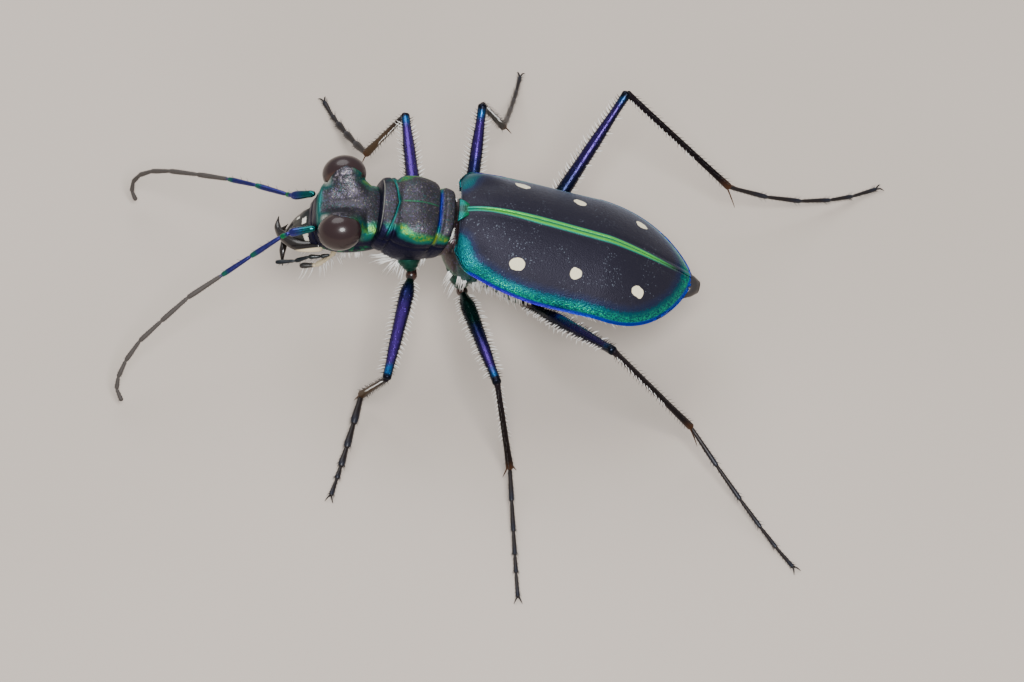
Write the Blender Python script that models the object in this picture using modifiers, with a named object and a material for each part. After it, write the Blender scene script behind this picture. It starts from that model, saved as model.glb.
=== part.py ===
"""A still, life-size tiger beetle that stands on its six feet.

The trunk is modelled level, in its own frame: x runs back from the base of the
wing cases, y to the beetle's right and z up from the suture. An empty then lifts
and tilts it. The head has a frame of its own that dips forward from the neck.
Legs and antennae are modelled where they stand, in the frame of the floor.
All driving dimensions are in millimetres.
"""

import math

import bmesh
import bpy
from mathutils import Matrix, Vector

MM = 0.001
GAP = 0.03  # clearance left between neighbouring pieces
LEFT, RIGHT = -1, 1
SIDE_NAMES = {LEFT: "left", RIGHT: "right"}

# Stance: height of the wing case base over the floor, head-up pitch, place on the floor
STANCE_HEIGHT = 6.81
TRUNK_PITCH = 19.0
FLOOR_CENTRE = (-1.562, 0.345)
NECK = (-2.85, 0.0, -1.35)
HEAD_DIP = 37.0

# Wing cases
CASE_LENGTH = 8.99
CASE_HALF_WIDTH = 2.57
SHOULDER_HALF_WIDTH = 1.98
SHOULDER_LENGTH = 3.5
SHOULDER_ROUNDING = 0.6  # length over which the front corners are rounded off
SHOULDER_CUT = 0.45  # how far they are rounded off
TAPER_START = 5.7
TAPER_POWER = 2.35
TIP_POWER = 0.693  # a blunter tip as it shrinks
CASE_THICKNESS = 0.5
SUTURE_RISE = 0.70
RISE_LENGTH = 0.8
SUTURE_DROP = 0.86  # over the length of the fall, and a little more at the tip
SUTURE_FALL_START = 5.4
SUTURE_FALL_LENGTH = 3.4
ARCH = 0.565  # height of the arch as a share of its half width
ARCH_ROUNDNESS = 0.29  # 0 for a parabola across, 1 for an ellipse
BASE_FLATTENING = 0.55
REAR_FLATTENING = 0.35
REAR_FLATTENING_START = 3.0

# Sections of the trunk: x, half width, top, bottom, widest level, squareness
PROTHORAX = [
    (-2.74, 1.05, -0.98, -2.05, -1.55, 2.3),
    (-2.60, 1.32, -0.70, -2.35, -1.40, 2.5),
    (-2.34, 1.38, -0.50, -2.50, -1.25, 2.6),
    (-2.20, 1.30, -0.48, -2.58, -1.20, 2.6),
    (-2.00, 1.41, -0.32, -2.66, -1.05, 2.8),
    (-1.50, 1.45, -0.14, -2.72, -0.95, 2.8),
    (-0.95, 1.36, -0.10, -2.68, -0.90, 2.8),
    (-0.64, 1.20, -0.18, -2.55, -0.90, 2.7),
    (-0.48, 1.20, -0.06, -2.45, -0.85, 2.7),
    (-0.24, 1.14, -0.04, -2.30, -0.85, 2.6),
    (-0.16, 1.02, -0.20, -2.15, -0.90, 2.5),
]
PTEROTHORAX_BOTTOM = -2.62
PTEROTHORAX_HALF_WIDTH = 1.72
ABDOMEN_START = 3.72
ABDOMEN_LAST_RING = 8.72
TAIL_RING = (9.20, 0.24, -0.68, -1.02, -0.85, 2.0)  # as a section of the trunk
ABDOMEN_BOTTOM = -2.50
ABDOMEN_RISE = 1.35
ABDOMEN_HALF_WIDTH = 1.95

# Head capsule in the frame of the neck, which points back along x
HEAD = [
    (0.45, 0.70, 0.02, -0.90, -0.40, 2.2),
    (0.18, 1.08, 0.24, -1.12, -0.40, 2.3),
    (-0.19, 1.20, 0.44, -1.25, -0.38, 2.4),
    (-0.60, 1.22, 0.56, -1.30, -0.35, 2.5),
    (-1.00, 1.22, 0.66, -1.30, -0.32, 2.5),
    (-1.40, 1.18, 0.78, -1.26, -0.30, 2.5),
    (-1.76, 1.08, 0.84, -1.18, -0.30, 2.5),
    (-1.98, 1.00, 0.66, -1.08, -0.30, 2.5),
    (-2.20, 0.94, 0.32, -0.98, -0.34, 2.6),
    (-2.42, 0.86, 0.00, -0.86, -0.40, 2.8),
]
EYE_PLACE = (-1.00, 1.29, 0.62)
EYE_SIZE = (0.80, 0.66, 0.70)

# Thicknesses of the solids, as radii: slender limbs are kept half a millimetre thick
LIMB = 0.25
FEMUR_ROOT = 0.29
COXA_ROOT = 0.50
TROCHANTER = 0.27

# Legs: hip, knee and ankle joints, claw tips, and how far the foot bows back
LEGS = {
    "front_left": ((-1.62, -1.41, 4.69), (-2.24, -5.32, 3.60), (-3.12, -4.04, 0.70), (-3.99, -8.32), 0.14),
    "front_right": ((-1.62, 1.41, 4.69), (-2.28, 5.44, 4.97), (-3.62, 5.80, 1.99), (-5.43, 9.65), 0.0),
    "middle_left": ((0.20, -1.27, 3.73), (1.70, -5.67, 4.32), (2.38, -6.85, 0.79), (3.00, -12.14), 0.0),
    "middle_right": ((0.20, 1.27, 3.73), (0.49, 5.37, 5.99), (1.30, 6.98, 2.65), (1.82, 11.45), 0.0),
    "hind_left": ((2.45, -1.26, 3.21), (5.71, -5.67, 6.77), (8.74, -5.22, 1.82), (12.86, -9.96), 0.0),
    "hind_right": ((2.45, 1.26, 3.21), (5.67, 6.06, 6.40), (9.66, 5.25, 2.24), (15.33, 7.38), 0.38),
}
# Where each coxa leaves the body, in the trunk's frame
COXA_ROOTS = {"front": (-1.25, 0.72, -2.05), "middle": (0.75, 0.95, -1.95), "hind": (1.90, 0.70, -2.05)}
FOOT_HEIGHT = 0.20  # of the foot's middle line where it lies on the floor
FOOT_FALL = 1.5

# Antennae: the joints of the eleven segments, left and right, in the floor's frame
ANTENNA_JOINTS = {
    LEFT: [
        (-5.15, -0.76, 6.15), (-6.06, -0.86, 5.87), (-6.38, -0.94, 5.69), (-7.40, -1.38, 5.01),
        (-8.39, -1.83, 4.35), (-9.56, -2.42, 3.65), (-10.45, -3.01, 2.93), (-11.18, -3.51, 2.31),
        (-11.64, -4.00, 1.72), (-11.87, -4.40, 1.24), (-11.91, -4.66, 0.86), (-11.70, -4.95, 0.55),
    ],
    RIGHT: [
        (-5.28, 0.76, 6.15), (-6.09, 0.95, 5.66), (-6.30, 1.16, 5.44), (-7.44, 1.73, 5.08),
        (-8.45, 2.32, 4.53), (-9.60, 2.97, 3.80), (-10.64, 3.48, 3.20), (-11.33, 3.93, 2.50),
        (-11.77, 4.22, 1.83), (-12.01, 4.30, 1.28), (-12.04, 4.18, 0.86), (-11.88, 4.02, 0.55),
    ],
}

# Mouthparts in the head's frame. The left blade passes over the right one, whose tip points down
MANDIBLES = {
    LEFT: [
        (-2.16, -0.80, -0.62), (-2.75, -0.78, -0.60), (-3.25, -0.52, -0.60), (-3.66, -0.05, -0.68),
        (-3.82, 0.32, -0.70), (-3.76, 0.62, -0.58),
    ],
    RIGHT: [
        (-2.16, 0.80, -0.62), (-2.75, 0.78, -0.88), (-3.25, 0.50, -1.02), (-3.58, 0.00, -1.08),
        (-3.70, -0.50, -1.15), (-3.76, -0.88, -1.42),
    ],
}
MANDIBLE_RADII = [0.26, 0.25, 0.21, 0.16, 0.12, 0.10]
# Palps for the right side: y is turned over for the left
MAXILLARY_PALP = [(-1.92, 0.92, -1.22), (-2.60, 1.03, -1.22), (-3.20, 1.07, -1.22), (-3.90, 1.02, -1.14)]
LABIAL_PALP = [(-1.70, 0.35, -1.35), (-2.20, 0.48, -1.92), (-2.80, 0.58, -2.10), (-3.30, 0.56, -2.02)]
LABRUM_ENDS = ((-2.52, -0.08), (-3.04, -0.34))  # x and z of its root and its front edge
LABRUM_HALF_WIDTH = 0.60
LABRUM_THICKNESS = 0.26
SCUTELLUM_START = -0.11
SCUTELLUM_LENGTH = 0.62
SCUTELLUM_HALF_WIDTH = 0.50
SCUTELLUM_TOP = 0.10


def material(name, colour, metallic, roughness):
    made = bpy.data.materials.new(name)
    made.use_nodes = True
    shader = made.node_tree.nodes["Principled BSDF"]
    shader.inputs["Base Color"].default_value = (*colour, 1)
    shader.inputs["Metallic"].default_value = metallic
    shader.inputs["Roughness"].default_value = roughness
    return made


def smooth_between(keys, count):
    """count tuples along a smooth Catmull-Rom curve through the keys."""
    padded = [keys[0], *keys, keys[-1]]
    found = []
    for step in range(count):
        place = step * (len(keys) - 1) / (count - 1)
        index = min(int(place), len(keys) - 2)
        t = place - index
        four = zip(*padded[index:index + 4])
        found.append(tuple(
            0.5 * (2 * b + (c - a) * t + (2 * a - 5 * b + 4 * c - d) * t ** 2
                   + (3 * b - a - 3 * c + d) * t ** 3)
            for a, b, c, d in four
        ))
    return found


def section(half_width, top, bottom, level, square, sides):
    """(y, z) points round one section of the body, squarer as square grows past 2."""
    points = []
    for side in range(sides):
        angle = 2 * math.pi * side / sides
        across, up = math.cos(angle), math.sin(angle)
        height = top - level if up > 0 else level - bottom
        points.append((
            half_width * math.copysign(abs(across) ** (2 / square), across),
            level + height * math.copysign(abs(up) ** (2 / square), up),
        ))
    return points


def add_object(name, mesh, look, parent):
    obj = bpy.data.objects.new(name, mesh)
    obj.data.materials.append(look)
    obj.parent = parent
    beetle.objects.link(obj)
    return obj


def loft(name, sections, look, parent):
    """A closed body through rings of (x, points), with a cap on each end."""
    bm = bmesh.new()
    rings = [[bm.verts.new(Vector((x, y, z)) * MM) for y, z in points] for x, points in sections]
    for ring, other in zip(rings, rings[1:]):
        for side in range(len(ring)):
            after = (side + 1) % len(ring)
            bm.faces.new((ring[side], ring[after], other[after], other[side]))
    bm.faces.new(rings[0][::-1])
    bm.faces.new(rings[-1])
    bmesh.ops.recalc_face_normals(bm, faces=bm.faces)
    mesh = bpy.data.meshes.new(name)
    bm.to_mesh(mesh)
    bm.free()
    mesh.shade_smooth()
    return add_object(name, mesh, look, parent)


def body_of(name, stations, rings, sides, look, parent):
    stations = smooth_between(stations, rings)
    return loft(name, [(s[0], section(*s[1:], sides)) for s in stations], look, parent)


def rounded_ends(points, radii):
    """The path with both ends drawn in, so that a tube along it ends in blunt domes."""
    first, last = Vector(points[0]), Vector(points[-1])
    inward = (Vector(points[1]) - first).normalized() * radii[0] * 0.35
    backward = (Vector(points[-2]) - last).normalized() * radii[-1] * 0.35
    return (
        [first, first + inward, *map(Vector, points[1:-1]), last + backward, last],
        [radii[0] * 0.6, radii[0], *radii[1:-1], radii[-1], radii[-1] * 0.6],
    )


def tube(name, points, radii, look, parent, detail=2):
    """A tapered tube along points, as a mesh with welded caps."""
    points, radii = rounded_ends(points, radii)
    curve = bpy.data.curves.new(name, "CURVE")
    curve.dimensions = "3D"
    curve.bevel_depth = MM
    curve.bevel_resolution = detail
    curve.use_fill_caps = True
    spline = curve.splines.new("POLY")
    spline.points.add(len(points) - 1)
    for target, point, radius in zip(spline.points, points, radii):
        target.co = (*(point * MM), 1)
        target.radius = radius
    guide = bpy.data.objects.new(name + ".guide", curve)
    beetle.objects.link(guide)
    mesh = bpy.data.meshes.new_from_object(guide.evaluated_get(bpy.context.evaluated_depsgraph_get()))
    mesh.name = name
    bpy.data.objects.remove(guide)
    bm = bmesh.new()
    bm.from_mesh(mesh)
    bmesh.ops.remove_doubles(bm, verts=bm.verts, dist=MM * 0.0005)
    bmesh.ops.recalc_face_normals(bm, faces=bm.faces)
    bm.to_mesh(mesh)
    bm.free()
    mesh.shade_smooth()
    mesh.materials.clear()
    return add_object(name, mesh, look, parent)


def cut_sockets(body, *pieces):
    """Lets the pieces into the body, each with a clearance all round."""
    body_frame = body.parent.matrix_world.inverted()
    for piece in pieces:
        mesh = piece.data.copy()
        mesh.transform(body_frame @ piece.parent.matrix_world)
        grown = bmesh.new()
        grown.from_mesh(mesh)
        grown.normal_update()
        for vert in grown.verts:
            vert.co += vert.normal * GAP * MM
        grown.to_mesh(mesh)
        grown.free()
        cutter = bpy.data.objects.new(f"{body.name}.socket.{piece.name}", mesh)
        cutter.parent = body.parent
        cutter.hide_render = True
        cutter.display_type = "WIRE"
        sockets.objects.link(cutter)
        cut = body.modifiers.new(piece.name, "BOOLEAN")
        cut.object = cutter


def case_half_width(x):
    """Half width of the closed wing cases: broad shoulders, then a rounded taper to the tip."""
    forward = min(x / SHOULDER_LENGTH, 1)
    width = SHOULDER_HALF_WIDTH + (CASE_HALF_WIDTH - SHOULDER_HALF_WIDTH) * (1 - (1 - forward) ** 2)
    width *= math.sqrt(1 - SHOULDER_CUT * (1 - min(x / SHOULDER_ROUNDING, 1)) ** 2)
    taper = max(0, (x - TAPER_START) / (CASE_LENGTH - TAPER_START))
    return width * max(0, 1 - taper ** TAPER_POWER) ** TIP_POWER


def case_suture(x):
    """Height of the seam between the wing cases, which rises from the base and falls to the tip."""
    rise = SUTURE_RISE * (1 - math.exp(-x / RISE_LENGTH))
    return rise - SUTURE_DROP * max(0, (x - SUTURE_FALL_START) / SUTURE_FALL_LENGTH) ** 1.35


def case_arch(x):
    """How far the outer edge lies below the suture. The arch is flatter at its base and its rear."""
    base = 1 - BASE_FLATTENING * math.exp(-x / 0.7)
    rear = max(0, (x - REAR_FLATTENING_START) / 6) ** 1.5
    return ARCH * case_half_width(x) * base * (1 - REAR_FLATTENING * rear)


def case_wall(x):
    """Thickness of the wing case, which thins out towards its tip."""
    return min(CASE_THICKNESS, 0.45 * case_half_width(x))


def case_point(x, turn, inset=0.0):
    """(y, z) on the arch at turn, from 0 at the suture to 1 at the outer edge."""
    across = math.sin(math.pi / 2 * turn) ** 0.9
    ellipse, parabola = 1 - math.sqrt(max(1 - across ** 2.2, 0)), across ** 2
    fall = parabola + (ellipse - parabola) * ARCH_ROUNDNESS
    return (case_half_width(x) - inset) * across, case_suture(x) - inset - case_arch(x) * fall


def wing_case(name, side, look, parent):
    """One wing case: sections of its outer arch, closed by the same arch one wall further in."""
    steps = 8
    sections = []
    for ring in range(19):
        x = 0.998 * CASE_LENGTH * (1 - (1 - ring / 18) ** 1.6)
        outer = [case_point(x, step / steps) for step in range(steps + 1)]
        inner = [case_point(x, step / steps, case_wall(x)) for step in range(steps, -1, -1)]
        sections.append((x, [(side * (y + GAP), z) for y, z in outer + inner]))
    return loft(name, sections, look, parent)


def under_case(x, bottom, narrow, sides=20):
    """Section of the body below the wing cases, with its back close under them."""
    inset = case_wall(x) + 2 * GAP
    half_width = min(case_point(x, 1, inset)[0], narrow)
    half = sides // 2
    points = []
    for step in range(half + 1):
        turn = 1 - 2 * step / half
        across, height = case_point(x, abs(turn), inset)
        points.append((math.copysign(min(across, half_width), turn), height))
    edge = points[-1][1]
    for step in range(1, half):
        angle = math.pi * step / half
        across, down = -math.cos(angle), math.sin(angle)
        points.append((
            half_width * math.copysign(abs(across) ** 0.8, across),
            edge - (edge - bottom) * down ** 0.8,
        ))
    return points


def pterothorax_piece(look, parent):
    """The hind two thirds of the thorax, below the wing cases."""
    front = 0.02
    sections = []
    for step in range(9):
        x = front + (ABDOMEN_START - GAP - front) * step / 8
        shallow = 0.45 * (1 - min(x / 0.8, 1)) ** 2
        sections.append((x, under_case(x, PTEROTHORAX_BOTTOM + shallow, PTEROTHORAX_HALF_WIDTH)))
    return loft("pterothorax", sections, look, parent)


def abdomen_piece(look, parent):
    """The abdomen, which rises to its tip and just shows behind the wing cases."""
    sections = []
    for step in range(12):
        share = step / 11
        x = ABDOMEN_START + (ABDOMEN_LAST_RING - ABDOMEN_START) * share
        bottom = ABDOMEN_BOTTOM + ABDOMEN_RISE * share ** 2.2
        sections.append((x, under_case(x, bottom, ABDOMEN_HALF_WIDTH)))
    sections.append((TAIL_RING[0], section(*TAIL_RING[1:], 20)))
    return loft("abdomen", sections, look, parent)


def mesh_object(name, bm, look, parent):
    mesh = bpy.data.meshes.new(name)
    bm.to_mesh(mesh)
    bm.free()
    return add_object(name, mesh, look, parent)


def scutellum_piece(look, parent):
    """A small triangular plate, its point laid between the bases of the wing cases."""
    bm = bmesh.new()
    bmesh.ops.create_cone(bm, cap_ends=True, segments=3, radius1=1, radius2=0.85, depth=2)
    bmesh.ops.rotate(bm, verts=bm.verts, matrix=Matrix.Rotation(-math.pi / 2, 3, "Z"))
    for vert in bm.verts:
        x = SCUTELLUM_START + SCUTELLUM_LENGTH * (vert.co.x + 0.5) / 1.5
        vert.co = Vector((x, SCUTELLUM_HALF_WIDTH * vert.co.y / 0.866, SCUTELLUM_TOP + 0.11 * vert.co.z)) * MM
    return mesh_object("scutellum", bm, look, parent)


def labrum_piece(look, parent):
    """The upper lip: a plate that slopes down from the front of the head."""
    bm = bmesh.new()
    bmesh.ops.create_cube(bm, size=1)
    root, front = (Vector((x, 0, z)) for x, z in LABRUM_ENDS)
    size = Vector(((front - root).length, 2 * LABRUM_HALF_WIDTH, LABRUM_THICKNESS))
    slope = Matrix.Rotation(-math.atan2(root.z - front.z, root.x - front.x), 3, "Y")
    for vert in bm.verts:
        vert.co = ((root + front) / 2 + slope @ (vert.co * size)) * MM
    piece = mesh_object("labrum", bm, look, parent)
    edges = piece.modifiers.new("Edges", "BEVEL")
    edges.width = 0.08 * MM
    edges.segments = 2
    return piece


def ball(name, place, size, look, parent, segments=20, rings=10):
    bm = bmesh.new()
    bmesh.ops.create_uvsphere(bm, u_segments=segments, v_segments=rings, radius=1)
    for vert in bm.verts:
        vert.co = (Vector(place) + vert.co * Vector(size)) * MM
    piece = mesh_object(name, bm, look, parent)
    piece.data.shade_smooth()
    return piece


def over_to(side, points):
    return [Vector((x, side * y, z)) for x, y, z in points]


def mouthparts(side, looks, head):
    """The mandible and the two palps of one side."""
    word = SIDE_NAMES[side]
    rings = 11
    return [
        tube(f"mandible_{word}", smooth_between(MANDIBLES[side], rings),
             [r for (r,) in smooth_between([(r,) for r in MANDIBLE_RADII], rings)], looks["jaw"], head),
        palp(f"maxillary_palp_{word}", MAXILLARY_PALP, side, looks["foot"], head),
        palp(f"labial_palp_{word}", LABIAL_PALP, side, looks["pale"], head),
    ]


def palp(name, points, side, look, parent):
    path = smooth_between([tuple(p) for p in over_to(side, points)], 6)
    return tube(name, path, [LIMB] * 6, look, parent)


def antenna(side, looks, ground):
    """The thick base of two segments, and the nine thin ones as one curved piece."""
    word = SIDE_NAMES[side]
    joints = [Vector(joint) for joint in ANTENNA_JOINTS[side]]
    base, rest = joints[:3], joints[2:]
    rest[0] = rest[0] + (rest[1] - rest[0]).normalized() * GAP
    thin = smooth_between([tuple(joint) for joint in rest], 14)
    tube(f"antenna_{word}", thin, [LIMB] * 14, looks["antenna"], ground)
    return tube(f"antenna_base_{word}", base, [LIMB] * 3, looks["limb"], ground)


def joint_room(bend, radius):
    """How far from a joint a limb starts, so that it clears the round end of the one before."""
    return max(radius + GAP, radius / math.tan(bend / 2) + GAP / math.sin(bend))


def leg(name, looks, trunk, ground):
    """Coxa, trochanter, femur, tibia and tarsus, from the body to the claws."""
    hip, knee, ankle, tip, bow = LEGS[name]
    hip, knee, ankle = Vector(hip), Vector(knee), Vector(ankle)
    pair, word = name.split("_")
    (root,) = over_to(LEFT if word == "left" else RIGHT, [COXA_ROOTS[pair]])
    root = (ground.matrix_world.inverted() @ trunk.matrix_world @ (root * MM)) / MM
    near_hip = TROCHANTER + GAP
    coxa = tube(
        f"{name}_coxa", [root, hip + (root - hip).normalized() * near_hip],
        [COXA_ROOT, TROCHANTER], looks["shell"], ground)
    trochanter = ball(f"{name}_trochanter", hip, [TROCHANTER] * 3, looks["dark"], ground, 10, 6)
    thigh = knee - hip
    femur = tube(
        f"{name}_femur", [hip + thigh.normalized() * near_hip, hip + thigh * 0.35, knee],
        [FEMUR_ROOT, FEMUR_ROOT, LIMB], looks["limb"], ground)
    shin = ankle - knee
    room = joint_room(shin.angle(-thigh), LIMB)
    tube(
        f"{name}_tibia", [knee + shin.normalized() * room, ankle], [LIMB, LIMB], looks["foot"], ground)
    foot = foot_path(ankle, Vector((*tip, 0)), bow)
    room = joint_room((foot[1] - foot[0]).angle(-shin), LIMB)
    foot[0] = ankle + (foot[1] - foot[0]).normalized() * room
    flat_foot(tube(f"{name}_tarsus", foot, [LIMB] * len(foot), looks["foot"], ground))
    return [coxa, trochanter, femur]


def foot_path(ankle, tip, bow):
    """Middle line of a tarsus, which comes down in a curve and then lies along the floor."""
    points = []
    for step in range(8):
        share = step / 7
        point = ankle.lerp(tip, share)
        point.y -= bow * math.sin(math.pi * share)
        point.z = max(ankle.z * (1 - share) ** FOOT_FALL, FOOT_HEIGHT)
        points.append(point)
    return points


def flat_foot(foot):
    """Cuts the underside off level with the floor, which leaves a small flat."""
    bm = bmesh.new()
    bm.from_mesh(foot.data)
    cut = bmesh.ops.bisect_plane(
        bm, geom=[*bm.verts, *bm.edges, *bm.faces], plane_co=(0, 0, 0), plane_no=(0, 0, -1), clear_outer=True)
    rim = [piece for piece in cut["geom_cut"] if isinstance(piece, bmesh.types.BMEdge)]
    bmesh.ops.contextual_create(bm, geom=rim)
    bmesh.ops.recalc_face_normals(bm, faces=bm.faces)
    bm.to_mesh(foot.data)
    bm.free()


def build():
    looks = {
        "shell": material("bronze_green_shell", (0.05, 0.09, 0.09), 0.7, 0.35),
        "case": material("blue_black_case", (0.02, 0.03, 0.06), 0.5, 0.45),
        "dark": material("dark_cuticle", (0.02, 0.015, 0.02), 0.3, 0.3),
        "eye": material("brown_eye", (0.05, 0.02, 0.02), 0.0, 0.15),
        "limb": material("violet_limb", (0.06, 0.03, 0.20), 0.8, 0.3),
        "foot": material("black_foot", (0.01, 0.01, 0.015), 0.3, 0.35),
        "jaw": material("dark_jaw", (0.03, 0.015, 0.01), 0.1, 0.25),
        "pale": material("pale_palp", (0.45, 0.36, 0.22), 0.0, 0.5),
        "antenna": material("grey_antenna", (0.05, 0.04, 0.04), 0.1, 0.6),
    }
    ground = frame("ground", (*FLOOR_CENTRE, 0), 0, None)
    trunk = frame("trunk", (0, 0, STANCE_HEIGHT), TRUNK_PITCH, ground)
    neck = frame("neck", NECK, -HEAD_DIP, trunk)
    bpy.context.view_layer.update()

    prothorax = body_of("prothorax", PROTHORAX, 18, 20, looks["shell"], trunk)
    pterothorax = pterothorax_piece(looks["shell"], trunk)
    abdomen = abdomen_piece(looks["dark"], trunk)
    scutellum = scutellum_piece(looks["shell"], trunk)
    head = body_of("head", HEAD, 16, 20, looks["shell"], neck)
    labrum_piece(looks["jaw"], neck)
    for side, word in SIDE_NAMES.items():
        shell = wing_case(f"wing_case_{word}", side, looks["case"], trunk)
        cut_sockets(shell, scutellum)
        x, y, z = EYE_PLACE
        eye = ball(f"eye_{word}", (x, side * y, z), EYE_SIZE, looks["eye"], neck)
        cut_sockets(head, eye, antenna(side, looks, ground), *mouthparts(side, looks, neck))
    legs = {name: leg(name, looks, trunk, ground) for name in LEGS}
    bpy.context.view_layer.update()
    cut_sockets(prothorax, head)
    cut_sockets(pterothorax, scutellum)
    for word in SIDE_NAMES.values():
        cut_sockets(prothorax, legs[f"front_{word}"][0])
        cut_sockets(pterothorax, legs[f"middle_{word}"][0], *legs[f"hind_{word}"])
        cut_sockets(abdomen, *legs[f"hind_{word}"])


def frame(name, place, tilt, parent):
    """An empty that carries the pieces modelled in its frame."""
    empty = bpy.data.objects.new(name, None)
    empty.location = Vector(place) * MM
    empty.rotation_euler = (0, math.radians(tilt), 0)
    empty.parent = parent
    beetle.objects.link(empty)
    return empty


for old in list(bpy.data.objects):
    bpy.data.objects.remove(old)
beetle = bpy.data.collections.new("tiger_beetle")
sockets = bpy.data.collections.new("sockets")
for collection in (beetle, sockets):
    bpy.context.scene.collection.children.link(collection)
build()
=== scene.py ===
# %% [markdown]
# # A tiger beetle on its six feet
#
# This lesson dresses a solid model of a tiger beetle. The solids hold its size and stance. Here each of
# them gets the fine surface of the real animal: a granular metallic shell, velvety wing cases with
# cream spots, glossy eyes, jointed feet with claws, and rows of stiff white hairs.
#
# Everything below is written in millimetres, and each piece is moved to its place in metres at the end.

# %% Load the solid model
import math
import random

import bmesh
import bpy
import numpy as np
from mathutils import Matrix, Vector
from mathutils.bvhtree import BVHTree


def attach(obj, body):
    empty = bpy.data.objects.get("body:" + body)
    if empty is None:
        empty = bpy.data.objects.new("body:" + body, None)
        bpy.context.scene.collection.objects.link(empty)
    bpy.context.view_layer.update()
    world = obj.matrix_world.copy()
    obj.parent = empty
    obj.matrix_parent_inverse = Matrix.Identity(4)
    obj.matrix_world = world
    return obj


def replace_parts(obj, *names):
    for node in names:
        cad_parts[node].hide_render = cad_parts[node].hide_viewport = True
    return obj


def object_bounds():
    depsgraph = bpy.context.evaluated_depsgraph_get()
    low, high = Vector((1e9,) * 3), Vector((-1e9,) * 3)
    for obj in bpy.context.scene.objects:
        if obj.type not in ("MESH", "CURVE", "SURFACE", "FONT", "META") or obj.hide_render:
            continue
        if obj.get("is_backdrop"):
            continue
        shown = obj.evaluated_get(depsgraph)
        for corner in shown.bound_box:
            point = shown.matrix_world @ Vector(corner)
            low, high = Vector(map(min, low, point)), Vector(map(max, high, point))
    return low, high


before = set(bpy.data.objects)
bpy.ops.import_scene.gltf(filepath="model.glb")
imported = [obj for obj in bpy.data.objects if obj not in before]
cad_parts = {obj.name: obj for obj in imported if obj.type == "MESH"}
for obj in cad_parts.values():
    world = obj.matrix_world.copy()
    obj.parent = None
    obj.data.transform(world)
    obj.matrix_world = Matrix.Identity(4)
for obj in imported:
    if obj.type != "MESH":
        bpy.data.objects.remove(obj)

MM = 0.001
LEFT, RIGHT = -1, 1
SIDE_NAMES = {LEFT: "left", RIGHT: "right"}
cad_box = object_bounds()
print("solid model:", len(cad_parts), "nodes")

# %% [markdown]
# The beetle is drawn in four frames. The floor's frame holds the legs and antennae where they stand.
# The trunk's frame is lifted and tilted head up, with x running back from the base of the wing cases
# and z up from their seam. The head's frame hangs from the neck and dips forward. A matrix for each
# frame, scaled to metres, takes a finished piece to its place in one step.

# %% The frames of the body
STANCE_HEIGHT = 6.81
TRUNK_PITCH = math.radians(19)
HEAD_DIP = math.radians(37)
FLOOR_CENTRE = Vector((-1.562, 0.345, 0))
NECK = Vector((-2.85, 0, -1.35))

FLOOR = Matrix.Scale(MM, 4) @ Matrix.Translation(FLOOR_CENTRE)
TRUNK = FLOOR @ Matrix.Translation((0, 0, STANCE_HEIGHT)) @ Matrix.Rotation(TRUNK_PITCH, 4, "Y")
HEAD = TRUNK @ Matrix.Translation(NECK) @ Matrix.Rotation(-HEAD_DIP, 4, "Y")
print("neck, in metres:", [round(n, 5) for n in HEAD.translation])

# %% [markdown]
# ## Wires: shader maths as Python
#
# A material is a graph of nodes, and a long formula in nodes is hard to read. A small class wraps one
# socket and overloads the usual operators, so that `1 - mask * 0.5` adds its Math nodes by itself.
# All other kinds of node come from its one `node` method.

# %% A wrapped socket
class Wire:
    """One output socket of a material's node tree, usable in Python formulas."""

    def __init__(self, tree, socket=None):
        self.tree = tree
        self.socket = socket

    def node(self, kind, settings=None, sockets=None, out=0):
        """Adds a node, sets it up, feeds its sockets and returns one of its outputs."""
        made = self.tree.nodes.new(kind)
        for name, value in (settings or {}).items():
            setattr(made, name, value)
        for name, value in (sockets or {}).items():
            if isinstance(value, Wire):
                self.tree.links.new(value.socket, made.inputs[name])
            elif made.inputs[name].type == "RGBA":
                made.inputs[name].default_value = (*value, 1)
            else:
                made.inputs[name].default_value = value
        return Wire(self.tree, made.outputs[out])

    def math(self, operation, *values):
        return self.node("ShaderNodeMath", {"operation": operation}, dict(enumerate(values)))

    def __add__(self, other):
        return self.math("ADD", self, other)

    def __sub__(self, other):
        return self.math("SUBTRACT", self, other)

    def __mul__(self, other):
        return self.math("MULTIPLY", self, other)

    def __truediv__(self, other):
        return self.math("DIVIDE", self, other)

    def __rsub__(self, other):
        return self.math("SUBTRACT", other, self)

    __radd__ = __add__
    __rmul__ = __mul__

    def __abs__(self):
        return self.math("ABSOLUTE", self)

    def step(self, low, high):
        """0 below low, 1 above high, and a soft rise between them. low may be the larger one."""
        return self.node(
            "ShaderNodeMapRange", {"interpolation_type": "SMOOTHSTEP"},
            {"Value": self, "From Min": low, "From Max": high})

    def bump_at(self, middle, spread):
        """A soft hill: 1 where this value is at the middle, 0 further than the spread away."""
        return abs(self - middle).step(spread, 0.0)

    def parts(self):
        """The x, y and z of a vector."""
        return [self.node("ShaderNodeSeparateXYZ", None, {"Vector": self}, out) for out in range(3)]


# %% [markdown]
# A few helpers make most of a finish: colours laid over each other by shares, soft clouds, round grains,
# and a relief that tilts the light. Each adds a node or a few, and gives a Wire back.

# %% Colour and pattern helpers
def mix(share, first, second):
    """first where share is 0, second where it is 1."""
    return share.node(
        "ShaderNodeMix", {"data_type": "RGBA"}, {"Factor": share, 6: first, 7: second}, 2)


def layered(colour, *layers):
    """The colour under layers of (share, colour), each laid over those before it."""
    for share, over in layers:
        colour = mix(share, colour, over)
    return colour


def clouds(place, scale, detail=3.0):
    """Soft patches between 0 and 1, which drift round a half."""
    return place.node(
        "ShaderNodeTexNoise", None, {"Vector": place, "Scale": scale, "Detail": detail, "Roughness": 0.55})


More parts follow.
